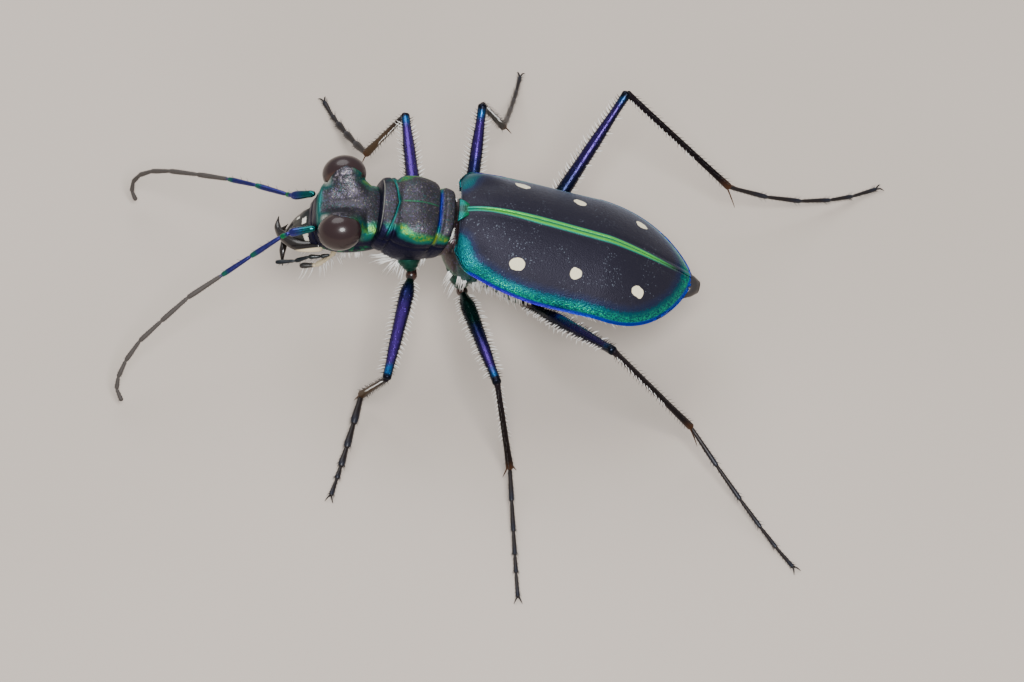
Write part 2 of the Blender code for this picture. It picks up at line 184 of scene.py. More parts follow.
def grains(place, scale, out="Distance"):
    """Round grains, as on a shell: their height as Distance, or one random colour each as Color."""
    return place.node("ShaderNodeTexVoronoi", None, {"Vector": place, "Scale": scale}, out)


def relief(height, strength, distance, under=None):
    """A bump of that many millimetres, on top of the bump under it."""
    sockets = {"Height": height, "Strength": strength, "Distance": distance * MM}
    if under:
        sockets["Normal"] = under
    return height.node("ShaderNodeBump", None, sockets)


# %% [markdown]
# A pattern is easier to place when it is measured along the body and not along the room. A Mapping
# node of the texture kind undoes a frame's tilt and scale, so `undo(wire, TRUNK)` gives millimetres from
# the base of the wing cases, and `undo(wire, HEAD)` millimetres from the neck. A recipe is a function that
# makes a finish's changing sockets from such places, and `paint` turns it into a material.

# %% Places and the material builder
def undo(wire, matrix):
    """Object coordinates as millimetres in the frame of the matrix."""
    place = wire.node("ShaderNodeTexCoord", None, None, 3)
    location, turn, _ = matrix.decompose()
    return wire.node(
        "ShaderNodeMapping", {"vector_type": "TEXTURE"},
        {"Vector": place, "Location": location, "Rotation": turn.to_euler(), "Scale": (MM, MM, MM)})


def attribute(wire, name):
    """A number that the mesh carries at each point, such as how far along a limb it is."""
    return wire.node("ShaderNodeAttribute", {"attribute_name": name}, None, 2)


def paint(name, recipe, **fixed):
    """A Principled material. recipe gives its changing sockets, fixed those that are one number."""
    made = bpy.data.materials.new(name)
    made.use_nodes = True
    shader = made.node_tree.nodes["Principled BSDF"]
    for socket, wire in recipe(Wire(made.node_tree)).items():
        made.node_tree.links.new(wire.socket, shader.inputs[socket])
    for socket, value in fixed.items():
        shader.inputs[socket.replace("_", " ")].default_value = value
    print("material", name, "of", len(made.node_tree.nodes), "nodes")
    return made


print("turn of the head's frame:", [round(math.degrees(angle), 1) for angle in HEAD.to_euler()])

# %% [markdown]
# ## Floor, light and camera
#
# The photo looks down at the beetle's left side through a long lens, a little tilted. The camera stands
# off from a point beside the body by its azimuth and height above the horizon, and then rolls. The floor
# is plain and pale, and soft lamps light it, as in a studio: a broad one behind for the sheen of the
# shell, and a smaller one near the camera that leaves the round glint in each eye.

# %% Camera
TARGET = FLOOR_CENTRE + Vector((2.13, -3.696, 4.177))
CAMERA_DISTANCE = 350
CAMERA_AZIMUTH = math.radians(-0.52)
CAMERA_HEIGHT = math.radians(54.36)
CAMERA_ROLL = math.radians(4.48)
LENS = 344.5

toward_camera = Vector((
    math.sin(CAMERA_AZIMUTH) * math.cos(CAMERA_HEIGHT), -math.cos(CAMERA_AZIMUTH) * math.cos(CAMERA_HEIGHT),
    math.sin(CAMERA_HEIGHT)))
camera_data = bpy.data.cameras.new("camera")
camera_data.lens = LENS
camera_data.clip_start = 0.01
camera = bpy.data.objects.new("camera", camera_data)
turned = toward_camera.to_track_quat("Z", "Y").to_matrix().to_4x4() @ Matrix.Rotation(CAMERA_ROLL, 4, "Z")
camera.matrix_world = Matrix.Translation((TARGET + toward_camera * CAMERA_DISTANCE) * MM) @ turned
bpy.context.scene.collection.objects.link(camera)
bpy.context.scene.camera = camera
print("camera at", [round(n, 4) for n in camera.location])

# %% Floor and lights
FLOOR_HALF_WIDTH = 600
FLOOR_DARK = (0.50, 0.435, 0.375)
FLOOR_PALE = (0.54, 0.47, 0.41)
SKY = (0.95, 0.97, 1.0, 1)
SKY_STRENGTH = 0.46


def soft_box(name, place, size, power):
    """A round lamp at a place in millimetres that looks at the beetle, with its power in watts."""
    data = bpy.data.lights.new(name, "AREA")
    data.shape = "DISK"
    data.size = size * MM
    data.energy = power
    light = bpy.data.objects.new(name, data)
    light.matrix_world = (
        Matrix.Translation(Vector(place) * MM) @ Vector(place).to_track_quat("Z", "Y").to_matrix().to_4x4())
    bpy.context.scene.collection.objects.link(light)


def floor_recipe(wire):
    place = wire.node("ShaderNodeTexCoord", None, None, 3)
    tone = clouds(place, 30.0, 2.0).step(0.3, 0.7)
    return {"Base Color": mix(tone, FLOOR_DARK, FLOOR_PALE)}


floor_bm = bmesh.new()
bmesh.ops.create_grid(floor_bm, x_segments=1, y_segments=1, size=FLOOR_HALF_WIDTH * MM)
floor_mesh = bpy.data.meshes.new("floor")
floor_bm.to_mesh(floor_mesh)
floor_bm.free()
floor_mesh.materials.append(paint("pale_floor", floor_recipe, Roughness=0.85))
floor = bpy.data.objects.new("floor", floor_mesh)
bpy.context.scene.collection.objects.link(floor)
floor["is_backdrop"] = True

soft_box("overhead", (-60, 110, 160), 160, 0.23)
soft_box("flash", (14, -112, 190), 90, 0.58)
world = bpy.data.worlds.new("studio")
world.use_nodes = True
world.node_tree.nodes["Background"].inputs["Color"].default_value = SKY
world.node_tree.nodes["Background"].inputs["Strength"].default_value = SKY_STRENGTH
bpy.context.scene.world = world
print("floor of", 2 * FLOOR_HALF_WIDTH, "mm and", len(bpy.data.lights), "lamps")

# %% [markdown]
# ## Drawing a body by extrusion
#
# Nearly every piece of a beetle is a closed tube: a ring of edges drawn out from section to section.
# It could be sculpted, but a drawn body keeps its real sizes. `drawn` makes a circle, then extrudes its
# ring once for each section and puts the new points where that section has them. Each point also stores
# how far along the piece it lies, and how near to its upper side, which the paint reads later.

# %% Smooth curves
def smooth_between(keys, count):
    """count tuples along a smooth Catmull-Rom curve through the keys."""
    padded = [keys[0], *keys, keys[-1]]
    found = []
    for step in range(count):
        place = step * (len(keys) - 1) / (count - 1)
        index = min(int(place), len(keys) - 2)
        t = place - index
        four = zip(*padded[index:index + 4])
        found.append(tuple(
            0.5 * (2 * b + (c - a) * t + (2 * a - 5 * b + 4 * c - d) * t ** 2
                   + (3 * b - a - 3 * c + d) * t ** 3)
            for a, b, c, d in four
        ))
    return found


print("a curve through 0, 1 and 0:", [round(n, 2) for (n,) in smooth_between([(0,), (1,), (0,)], 5)])

# %% A body drawn through rings
def drawn(rings, bm=None, shares=None):
    """A closed body drawn through rings of points. It is added to bm, where one is given."""
    bm = bm or bmesh.new()
    along = bm.verts.layers.float.get("along") or bm.verts.layers.float.new("along")
    rise = bm.verts.layers.float.get("rise") or bm.verts.layers.float.new("rise")
    shares = shares or [index / (len(rings) - 1) for index in range(len(rings))]
    verts = bmesh.ops.create_circle(bm, segments=len(rings[0]), radius=1)["verts"]
    verts.sort(key=lambda vert: math.atan2(vert.co.y, vert.co.x))
    ring_edges = list(dict.fromkeys(edge for vert in verts for edge in vert.link_edges))
    first_edges = ring_edges
    for points, share in zip(rings, shares):
        if points is not rings[0]:
            grown = bmesh.ops.extrude_edge_only(bm, edges=ring_edges)["geom"]
            fresh = {item for item in grown if isinstance(item, bmesh.types.BMVert)}
            ring_edges = [
                item for item in grown
                if isinstance(item, bmesh.types.BMEdge) and fresh.issuperset(item.verts)]
            verts = [
                next(edge.other_vert(vert) for edge in vert.link_edges if edge.other_vert(vert) in fresh)
                for vert in verts]
        for index, (vert, point) in enumerate(zip(verts, points)):
            vert.co = point
            vert[along], vert[rise] = share, math.sin(2 * math.pi * index / len(points))
    for edges, share in ((first_edges, shares[0]), (ring_edges, shares[-1])):
        cap = bmesh.ops.holes_fill(bm, edges=edges)["faces"]
        for vert in bmesh.ops.poke(bm, faces=cap)["verts"]:
            vert[along] = share
    return bm


trial = drawn([[(math.cos(turn), math.sin(turn), height) for turn in (0, 2, 4)] for height in (0, 1)])
print("a drawn tube of three sides has", len(trial.faces), "faces")
trial.free()

# %% [markdown]
# Wing cases and the upper lip are thin sheets. Solidify would give them a wall, but where a sheet folds
# tightly it throws spikes. A copy set inwards along the normals and bridged to the edge stays smooth.

# %% A sheet with a wall
def thicken(bm, wall):
    """Gives a sheet a thickness: a copy of it, set inwards, is joined to it all round the edge."""
    bmesh.ops.recalc_face_normals(bm, faces=bm.faces)
    if sum(face.normal.z * face.calc_area() for face in bm.faces) < 0:
        bmesh.ops.reverse_faces(bm, faces=bm.faces)
    edges = [edge for edge in bm.edges if edge.is_boundary]
    copied = bmesh.ops.duplicate(bm, geom=bm.verts[:] + bm.edges[:] + bm.faces[:])["geom"]
    bm.normal_update()
    for vert in copied:
        if isinstance(vert, bmesh.types.BMVert):
            vert.co -= vert.normal * wall
    edges += [edge for edge in copied if isinstance(edge, bmesh.types.BMEdge) and edge.is_boundary]
    bmesh.ops.bridge_loops(bm, edges=edges)


trial = bmesh.new()
bmesh.ops.create_grid(trial, x_segments=2, y_segments=2, size=0.5)
thicken(trial, 0.1)
print("volume of a unit sheet with a wall of 0.1:", round(trial.calc_volume(), 3))
trial.free()

# %% [markdown]
# The trunk is drawn from sections across it. Each is a rounded square with a top and a bottom of its own,
# and its points are spread evenly, so that the faces are of one size all round. A surface function then
# lifts or carves the skin, with soft hills for bulges and grooves.

# %% Sections and surfaces
def hill(value, width):
    """A soft hill of height 1 round zero."""
    return math.exp(-(value / width) ** 2)


def between(value, low, high):
    """0 below low, 1 above high, and a soft rise between them."""
    t = min(max((value - low) / (high - low), 0), 1)
    return t * t * (3 - 2 * t)


def evenly(points, count):
    """count points at equal steps round a closed line, from its first point on."""
    lengths = [0.0]
    for point, after in zip(points, points[1:] + points[:1]):
        lengths.append(lengths[-1] + math.dist(point, after))
    found, index = [], 0
    for step in range(count):
        goal = lengths[-1] * step / count
        while lengths[index + 1] < goal:
            index += 1
        t = (goal - lengths[index]) / (lengths[index + 1] - lengths[index])
        start, end = points[index], points[(index + 1) % len(points)]
        found.append(tuple(a + (b - a) * t for a, b in zip(start, end)))
    return found


def section(half_width, top, bottom, level, square, sides):
    """(y, z) points round one section of the body from its top, squarer as square grows past 2."""
    points = []
    fine = sides * 3
    for side in range(fine):
        angle = 2 * math.pi * side / fine
        across, up = math.sin(angle), math.cos(angle)
        height = top - level if up > 0 else level - bottom
        points.append((
            half_width * math.copysign(abs(across) ** (2 / square), across),
            level + height * math.copysign(abs(up) ** (2 / square), up),
        ))
    return evenly(points, sides)


def carved(x, level, points, surface):
    """A section's points, each moved out from its middle at that level by surface(x, y, z)."""
    middle = Vector((x, 0, level))
    ring = []
    for y, z in points:
        point = Vector((x, y, z))
        ring.append(point + (point - middle).normalized() * surface(x, y, z))
    return ring


def plated(stations, rings, sides, surface):
    """A body through stations of x, half width, top, bottom, level and squareness."""
    return drawn([
        carved(x, shape[3], section(*shape, sides), surface)
        for x, *shape in smooth_between(stations, rings)])


print("width across a section:", round(max(y for y, _ in section(1, 1, -1, 0, 2.5, 60)), 3))

# %% [markdown]
# Limbs are drawn the same way, along a line in space. A `Stem` keeps that line, the radius along it and
# two directions across it, so that the same stem draws the limb and later plants bristles on its skin.
# Domed ends close a limb, so that two segments meet as rounded joints do.

# %% The line of a limb
class Stem:
    """The line of a limb through path, with a table of (share, radius) along it.

    flat is the limb's height as a share of its width."""

    steps = 48

    def __init__(self, path, profile, flat=1.0):
        keys = [tuple(point) for point in path]
        self.line = [Vector(point) for point in smooth_between(keys, self.steps + 1)]
        self.profile = profile
        self.flat = flat

    def radius(self, share):
        for (low, first), (high, second) in zip(self.profile, self.profile[1:]):
            if share <= high:
                t = (share - low) / (high - low)
                return first + (second - first) * t * t * (3 - 2 * t)
        return self.profile[-1][1]

    def at(self, share):
        """The point at a share of the line, the direction ahead and the two directions across."""
        place = min(max(share, 0), 1) * self.steps
        index = min(int(place), self.steps - 1)
        point = self.line[index].lerp(self.line[index + 1], place - index)
        ahead = (self.line[min(index + 2, self.steps)] - self.line[max(index - 1, 0)]).normalized()
        side = ahead.cross(Vector((0, 0, 1))).normalized()
        return point, ahead, side, side.cross(ahead)

    def skin(self, share, turn, shift=0.0, size=1.0):
        """A point on the skin, where turn 0 is the side, a quarter the top, and so on round."""
        point, ahead, side, rise = self.at(share)
        angle = 2 * math.pi * turn
        out = side * math.cos(angle) + rise * math.sin(angle) * self.flat
        return point + ahead * shift + out * self.radius(share) * size

    def out(self, share, turn):
        return (self.skin(share, turn) - self.at(share)[0]).normalized()


trial = Stem([(0, 0, 0), (1, 0, 0), (2, 0, 0)], [(0, 0.1), (1, 0.2)])
print("a stem's radius at its middle:", round(trial.radius(0.5), 3))

# %% A limb round its stem
DOME_HEIGHT = 0.6  # of the limb's radius
DOME = [
    (DOME_HEIGHT * math.sin(math.radians(turn)), math.cos(math.radians(turn))) for turn in (78, 50, 22)]


def limb(stem, sides, rings, bm=None, marks=(0, 1)):
    """A rounded limb round a stem, marked along it from the first to the second mark."""
    places = [(0, -out * stem.radius(0), size) for out, size in DOME]
    places += [(ring / (rings - 1), 0, 1) for ring in range(rings)]
    places += [(1, out * stem.radius(1), size) for out, size in reversed(DOME)]
    turns = [side / sides for side in range(sides)]
    return drawn(
        [[stem.skin(share, turn, shift, size) for turn in turns] for share, shift, size in places],
        bm, [marks[0] + (marks[1] - marks[0]) * share for share, _, _ in places])


trial_bm = limb(trial, 12, 5)
print("a limb of 12 sides and 5 rings has", len(trial_bm.faces), "faces")
trial_bm.free()

# %% [markdown]
# A finished bmesh becomes a piece in one place: it is moved to its frame, its faces are turned outwards,
# it takes its finish, and the solid it stands for is hidden.

# %% Piece helper
def publish(name, mesh, look):
    """Puts a mesh into the scene, with its finish, as an object that rides with the root."""
    mesh.materials.append(look)
    mesh.shade_smooth()
    made = bpy.data.objects.new(name, mesh)
    bpy.context.scene.collection.objects.link(made)
    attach(made, "root")
    print(name, len(mesh.polygons), "faces")
    return made


def piece(name, bm, place, look, node):
    """Makes an object of a bmesh, which stands for one node of the solid model."""
    bmesh.ops.transform(bm, matrix=place, verts=bm.verts)
    bmesh.ops.recalc_face_normals(bm, faces=bm.faces)
    mesh = bpy.data.meshes.new(name)
    bm.to_mesh(mesh)
    bm.free()
    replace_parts(publish(name, mesh, look), node)


# %% [markdown]
# ## The wing cases
#
# A tiger beetle's wing cases are two thin, arched shells that meet in a straight seam. Each could be cut
# from a stretched ball, but a flat grid laid over a formula gives every point a place on the real arch.
# The same formula as the solid's is used, so both have one outline. The grid's first rows turn down at
# the shoulders, its last columns fold under at the outer rim, and a thin wall is added inwards.

# %% The arch of the wing cases
CASE_LENGTH = 8.99
CASE_HALF_WIDTH = 2.57
SHOULDER_HALF_WIDTH = 1.98
SHOULDER_LENGTH = 3.5
SHOULDER_ROUNDING = 0.6
SHOULDER_CUT = 0.45
TAPER_START = 5.7
TAPER_POWER = 2.35
TIP_POWER = 0.693
CASE_THICKNESS = 0.5
SUTURE_RISE = 0.70
RISE_LENGTH = 0.8
SUTURE_DROP = 0.86
SUTURE_FALL_START = 5.4
SUTURE_FALL_LENGTH = 3.4
ARCH = 0.565
ARCH_ROUNDNESS = 0.29
BASE_FLATTENING = 0.55
REAR_FLATTENING = 0.35
REAR_FLATTENING_START = 3.0
GAP = 0.03


def case_half_width(x):
    forward = min(x / SHOULDER_LENGTH, 1)
    width = SHOULDER_HALF_WIDTH + (CASE_HALF_WIDTH - SHOULDER_HALF_WIDTH) * (1 - (1 - forward) ** 2)
    width *= math.sqrt(1 - SHOULDER_CUT * (1 - min(x / SHOULDER_ROUNDING, 1)) ** 2)
    taper = max(0, (x - TAPER_START) / (CASE_LENGTH - TAPER_START))
    return width * max(0, 1 - taper ** TAPER_POWER) ** TIP_POWER


def case_suture(x):
    rise = SUTURE_RISE * (1 - math.exp(-x / RISE_LENGTH))
    return rise - SUTURE_DROP * max(0, (x - SUTURE_FALL_START) / SUTURE_FALL_LENGTH) ** 1.35


def case_arch(x):
    base = 1 - BASE_FLATTENING * math.exp(-x / 0.7)
    rear = max(0, (x - REAR_FLATTENING_START) / 6) ** 1.5
    return ARCH * case_half_width(x) * base * (1 - REAR_FLATTENING * rear)


def case_point(x, turn, inset=0.0):
    """(y, z) on the arch at turn, from 0 at the seam to 1 at the outer edge."""
    across = math.sin(math.pi / 2 * turn) ** 0.9
    ellipse, parabola = 1 - math.sqrt(max(1 - across ** 2.2, 0)), across ** 2
    fall = parabola + (ellipse - parabola) * ARCH_ROUNDNESS
    return (case_half_width(x) - inset) * across, case_suture(x) - inset - case_arch(x) * fall


print("wing cases", CASE_LENGTH, "mm long and", round(2 * case_half_width(TAPER_START), 2), "mm wide")

# %% [markdown]
# Finer forms lie on the arch: a bump at each shoulder, a bead along the seam and a raised rim. The outline
# is kept as a row of points, closer together towards the tip, for the distance of each point from it.

# %% Fine forms and the outline
OUTLINE_STEPS = 240
CROWDING = 1.6  # above 1, rows and outline points crowd towards the tip

outline = []
for mark in range(OUTLINE_STEPS + 1):
    edge_x = CASE_LENGTH * (1 - (1 - mark / OUTLINE_STEPS) ** CROWDING)
    outline.append(Vector((edge_x, *case_point(edge_x, 1))))


def case_relief(x, turn, y):
    """Height of the finer forms: shoulder bump, the hollow inside it, seam bead and raised rim."""
    shoulder = 0.10 * hill(x - 0.85, 0.5) * hill(turn - 0.62, 0.17)
    hollow = -0.07 * hill(x - 0.95, 0.55) * hill(turn - 0.34, 0.13)
    behind = -0.05 * hill(x - 2.1, 0.7) * hill(turn - 0.66, 0.12)
    seam = 0.030 * hill(y, 0.13) - 0.030 * hill(y - 0.21, 0.07)
    rim = 0.035 * hill(turn - 1.0, 0.035) - 0.03 * hill(turn - 0.93, 0.03)
    return shoulder + hollow + behind + seam + rim


print("height of the shoulder bump:", round(case_relief(0.85, 0.62, 1.0), 3), "mm")

# %% One wing case
CASE_ROWS = 132
CASE_COLUMNS = 76
CASE_WALL = 0.06
MERGE_DISTANCE = 0.004
LIP_SHARE = 0.035  # of the rows, which turn down at the base
SEAM_SHARE = 0.04  # of the columns, which turn down at the seam
RIM_SHARE = 0.93  # of the columns, before those that fold under
TIP_REACH = 0.998  # of the length, so that the last row isn't a point
NARROW_WIDTH = 0.8  # half width below which the forms fade
SEAM_DROP = 0.16
RIM_TUCK = 0.36
LIP_DROP = 0.42
LIP_TUCK = 0.30
LIP_REACH = 0.10


def wing_case(side):
    """A grid laid over the arch of one side, folded at three of its edges and given a wall."""
    bm = bmesh.new()
    rim = bm.verts.layers.float.new("rim")
    seam = bm.verts.layers.float.new("seam")
    bmesh.ops.create_grid(bm, x_segments=CASE_ROWS, y_segments=CASE_COLUMNS, size=1)
    for vert in bm.verts:
        row, column = (vert.co.x + 1) / 2, (vert.co.y + 1) / 2
        lip = max(0, 1 - row / LIP_SHARE)
        back = max(0, (row - LIP_SHARE) / (1 - LIP_SHARE))
        x = TIP_REACH * CASE_LENGTH * (1 - (1 - back) ** CROWDING)
        turn = min(max((column - SEAM_SHARE) / (RIM_SHARE - SEAM_SHARE), 0), 1)
        y, z = case_point(x, turn)
        narrow = min(case_half_width(x) / NARROW_WIDTH, 1)
        z += case_relief(x, turn, y) * narrow
        place = Vector((x, y, z))
        vert[rim] = min((place - point).length for point in outline)
        vert[seam] = math.hypot(y, z - case_suture(x))
        wall = max(0, 1 - column / SEAM_SHARE)
        fold = max(0, (column - RIM_SHARE) / (1 - RIM_SHARE))
        under = fold * narrow * (1 - lip)
        bead = 0.05 * math.sin(math.pi * min(fold * 2, 1))
        place.z -= (SEAM_DROP * wall ** 1.5 + bead) * narrow + 0.06 * under
        place.y += 0.4 * GAP + 0.02 * (1 - wall) - RIM_TUCK * max(0, under - 0.15)
        place.y -= LIP_TUCK * lip ** 2 * turn
        place.z -= (LIP_DROP - LIP_TUCK * turn) * lip ** 1.4
        place.x += LIP_REACH * lip
        vert.co = place
    bmesh.ops.remove_doubles(bm, verts=bm.verts, dist=MERGE_DISTANCE)
    thicken(bm, CASE_WALL)
    bmesh.ops.scale(bm, vec=(1, side, 1), verts=bm.verts)
    return bm


print("each wing case is laid over a grid of", CASE_ROWS, "by", CASE_COLUMNS)

# %% [markdown]
# The finish of the wing cases is nearly all in their fine grain. The middle is a dull violet black with
# tiny bright specks. Towards the edge it turns blue, then a grainy teal green, and the outermost rim is
# violet. The seam carries two thin lines of bright yellow green. The grid stored each point's distance
# from the rim and from the seam, so these bands follow the edges round the shoulders and the tip.

# %% Finish of the wing cases
SPOTS = (  # x, distance from the seam, and the half length and half width
    (2.22, 1.74, 0.285, 0.19), (4.39, 1.58, 0.225, 0.185), (6.85, 1.48, 0.235, 0.185))
BLUE_SHEEN = (0.55, 0.70, 1.0, 1.0)
CREAM = (0.92, 0.83, 0.58)
CASE_DARK = (0.015, 0.013, 0.027)
CASE_BLUE = (0.009, 0.018, 0.066)
CASE_SPECK = (0.12, 0.14, 0.18)
BAND_TEAL = (0.002, 0.10, 0.13)
BAND_GREEN = (0.010, 0.42, 0.23)
RIM_BLUE = (0.008, 0.06, 0.50)
RIM_VIOLET = (0.05, 0.015, 0.50)
SEAM_LIME = (0.14, 0.66, 0.04)
SEAM_TEAL = (0.004, 0.28, 0.20)


def cream_spots(place, x, y):
    """1 in the three cream spots, with a ragged edge, and 0 elsewhere."""
    spots = x * 0
    ragged = (clouds(place, 4.5, 1.0) - 0.5) * 0.5
    for spot_x, spot_y, length, width in SPOTS:
        along, across = (x - spot_x) / length, (abs(y) - spot_y) / width
        ring = x.math("SQRT", along * along + across * across)
        spots = spots + (ring + ragged).step(1.04, 0.96)
    return spots


def wing_case_recipe(wire):
    place = undo(wire, TRUNK)
    x, y, _ = place.parts()
    rim = attribute(wire, "rim")
    seam = attribute(wire, "seam") / (0.55 + 0.45 * x.step(0.6, 3.0) * x.step(8.2, 5.0))
    drift = clouds(place, 2.2) - 0.5
    speck = grains(place, 30.0, "Color").parts()
    lie = rim + drift * 0.16 + (speck[0] - 0.5) * 0.10 - x.step(2.0, 0.2) * 0.12
    outside = rim + x.step(0.9, 0.1) * 0.2
    fade = x.step(8.5, 6.8)
    line = seam.bump_at(0.064, 0.052) * fade * x.step(0.2, 1.4)
    spots = cream_spots(place, x, y)
    colour = layered(
        CASE_DARK,
        (speck[1].step(0.945, 0.99) * clouds(place, 1.2).step(0.42, 0.62), CASE_SPECK),
        (lie.step(0.85, 0.50) * 0.8, CASE_BLUE),
        (lie.step(0.56, 0.38), BAND_TEAL),
        (lie.step(0.48, 0.26) * speck[0].step(0.35, 0.85) * x.step(-0.5, 2.5), BAND_GREEN),
        (outside.step(0.13, 0.07), RIM_BLUE),
        (outside.step(0.09, 0.03) * x.step(6.0, 2.5), RIM_VIOLET),
        (seam.step(0.160, 0.105) * fade, SEAM_TEAL),
        (line, SEAM_LIME),
        (seam.step(0.022, 0.010) * 0.9, CASE_DARK),
        (spots, CREAM))
    shine = relief(grains(place, 24.0), 0.8, 0.014)
    shine = relief(clouds(place, 5.0, 2.0), 0.2, 0.05, shine)
    bright = lie.step(0.7, 0.3)
    return {
        "Base Color": colour, "Normal": shine,
        "Metallic": (1 - spots) * (0.55 + bright * 0.37),
        "Roughness": 0.52 - bright * 0.14 + spots * 0.12 - line * 0.18,
    }


wing_case_look = paint(
    "velvet_wing_case", wing_case_recipe, Sheen_Weight=0.14, Sheen_Roughness=0.35, Sheen_Tint=BLUE_SHEEN)
for side, word in SIDE_NAMES.items():
    node = f"wing_case_{word}"
    piece(f"{node}_shell", wing_case(side), TRUNK, wing_case_look, node)

# %% [markdown]
# ## The trunk
#
# In front of the wing cases lies the pronotum, the beetle's neck shield. It is nearly square, with a
# deep groove near its front and its back edge and a fine line down the middle. Carving the grooves into
# the drawn rings keeps them sharp from every side, where a bump would vanish in the outline.

# %% Pronotum
PROTHORAX = [  # x, half width, top, bottom, level of the widest point, squareness
    (-2.74, 1.22, -0.72, -2.20, -1.45, 2.4),
    (-2.62, 1.35, -0.60, -2.38, -1.35, 2.5),
    (-2.34, 1.37, -0.50, -2.50, -1.25, 2.6),
    (-2.20, 1.30, -0.48, -2.58, -1.20, 2.6),
    (-2.00, 1.41, -0.32, -2.66, -1.05, 2.8),
    (-1.50, 1.45, -0.14, -2.72, -0.95, 2.8),
    (-0.95, 1.36, -0.10, -2.68, -0.90, 2.8),
    (-0.64, 1.20, -0.18, -2.55, -0.90, 2.7),
    (-0.48, 1.20, -0.06, -2.45, -0.85, 2.7),
    (-0.24, 1.14, -0.04, -2.30, -0.85, 2.6),
    (-0.16, 1.02, -0.20, -2.15, -0.90, 2.5),
]
FRONT_GROOVE = -2.16
FRONT_GROOVE_SWEEP = 0.20
REAR_GROOVE = -0.70
SIDE_SEAM = -1.10


def pronotum_surface(x, y, z):
    front = x - FRONT_GROOVE + FRONT_GROOVE_SWEEP * abs(y)
    above = between(z, -1.5, -1.1)
    grooves = -0.06 * hill(front, 0.045) - 0.08 * hill(x - REAR_GROOVE, 0.055)
    middle = -0.04 * hill(y, 0.035) * between(x, -2.12, -1.98) * between(x, -0.74, -0.84)
    cushions = 0.05 * hill(abs(y) - 0.66, 0.45) * hill(x + 1.42, 0.45)
    seam = -0.05 * hill(z - SIDE_SEAM - 0.10 * (x + 1.5), 0.04)
    rims = 0.015 * hill(x + 2.68, 0.04)
    return above * (grooves + middle + cushions) + seam + rims


def search_tree(bm):
    """A shell that hairs can find, with its faces in an order that is the same in each run."""
    faces = []
    for face in bm.faces:
        corners = [tuple(vert.co) for vert in face.verts]
        first = corners.index(min(corners))
        faces.append(corners[first:] + corners[:first])
    places, polygons = [], []
    for corners in sorted(faces):
        polygons.append(list(range(len(places), len(places) + len(corners))))
        places += corners
    return BVHTree.FromPolygons(places, polygons)


pronotum_bm = plated(PROTHORAX, 120, 132, pronotum_surface)
hosts = {"prothorax": search_tree(pronotum_bm)}
print("pronotum of", len(pronotum_bm.faces), "faces")

# %% [markdown]
# The shell's metal colours come from how it is layered, and they change with its shape: violet grey on
# the flats, gold green along the shoulders of each form, teal and blue in the grooves. So the paint is
# placed by the same lines that carved the grooves. A thin pale line along the front edge is a painted
# highlight. A fine grain breaks every reflection into glints.

# %% Finish of the pronotum
SHELL_GREY = (0.047, 0.043, 0.051)
SHELL_GOLD = (0.22, 0.32, 0.02)
SHELL_GREEN = (0.010, 0.22, 0.08)
SHELL_TEAL = (0.004, 0.14, 0.13)
SHELL_BLUE = (0.008, 0.022, 0.27)
SHELL_NIGHT = (0.007, 0.007, 0.030)
# a pale colour for painted highlights on the shell's edges
PAINTED_HIGHLIGHT = (0.55, 0.55, 0.50)
SHELL_BRONZE = (0.042, 0.026, 0.028)
GLINT_VIOLET = (0.14, 0.10, 0.24)
GLINT_PALE = (0.40, 0.36, 0.28)
GLINT_SHARE = 0.3


def glitter(place, colour, scale=22.0):
    """Single grains of the shell that catch the light in green, violet or gold."""
    grain = grains(place, scale, "Color").parts()
    patch = clouds(place, 1.6).step(0.35, 0.65)
    return layered(
        colour,
        (grain[0].step(0.60, 0.95) * patch * GLINT_SHARE, SHELL_TEAL),
        (grain[1].step(0.70, 0.98) * GLINT_SHARE, GLINT_VIOLET),
        (grain[2].step(0.92, 1.0) * GLINT_SHARE, GLINT_PALE))


def pronotum_recipe(wire):
    place = undo(wire, TRUNK)
    x, y, z = place.parts()
    drift = clouds(place, 2.4) - 0.5
    down = drift * 0.22 - z
    side = abs(y).step(0.86, 1.12)
    gold = down.bump_at(0.50, 0.15) * side * grains(place, 14.0, "Color").parts()[0].step(0.3, 0.9)
    front = x - FRONT_GROOVE + abs(y) * FRONT_GROOVE_SWEEP
    above = z.step(-1.05, -0.75)
    middle = y.bump_at(0.0, 0.055) * x.step(-2.14, -2.0) * x.step(-0.74, -0.86)
    rear = (x - REAR_GROOVE).bump_at(0.0, 0.12) * above
    corner = rear * abs(y).step(0.62, 0.86)
    colour = layered(
        glitter(place, SHELL_GREY),
        (down.step(0.32, 0.46) * side, SHELL_GREEN),
        (gold * 0.8, SHELL_GOLD),
        (down.step(0.54, 0.66) * side, SHELL_TEAL),
        (down.step(0.64, 0.80), SHELL_NIGHT),
        ((front + drift * 0.05).bump_at(0.0, 0.075) * above, SHELL_TEAL),
        # painted highlight: a thin pale line along the front edge of the collar
        (x.bump_at(-2.70, 0.02) * above * 0.7, PAINTED_HIGHLIGHT),
        (middle * (0.5 + drift), SHELL_GREEN),
        (rear, SHELL_BLUE),
        (corner, SHELL_TEAL),
        (corner * abs(y).step(0.92, 1.08), SHELL_GOLD))
    shine = relief(grains(place, 19.0), 0.45, 0.014)
    shine = relief(clouds(place, 6.0, 4.0), 0.45, 0.05, shine)
    return {"Base Color": colour, "Normal": shine, "Roughness": 0.47 + drift * 0.16}


pronotum_look = paint("pronotum_metal", pronotum_recipe, Metallic=0.86)
piece("pronotum_shell", pronotum_bm, TRUNK, pronotum_look, "prothorax")

# %% [markdown]
# Under the wing cases, the body is a keel of fused plates. From the side the plates show as slanting
# fields, parted by seams, and the belly behind them as rings that each tuck under the next. Its back
# stays close below the wing cases, which hide it, so its sections follow their arch a little further in.

# %% Sections below the wing cases
TRUNK_SIDES = 96
BACK_STEPS = 24
BELLY_STEPS = 36


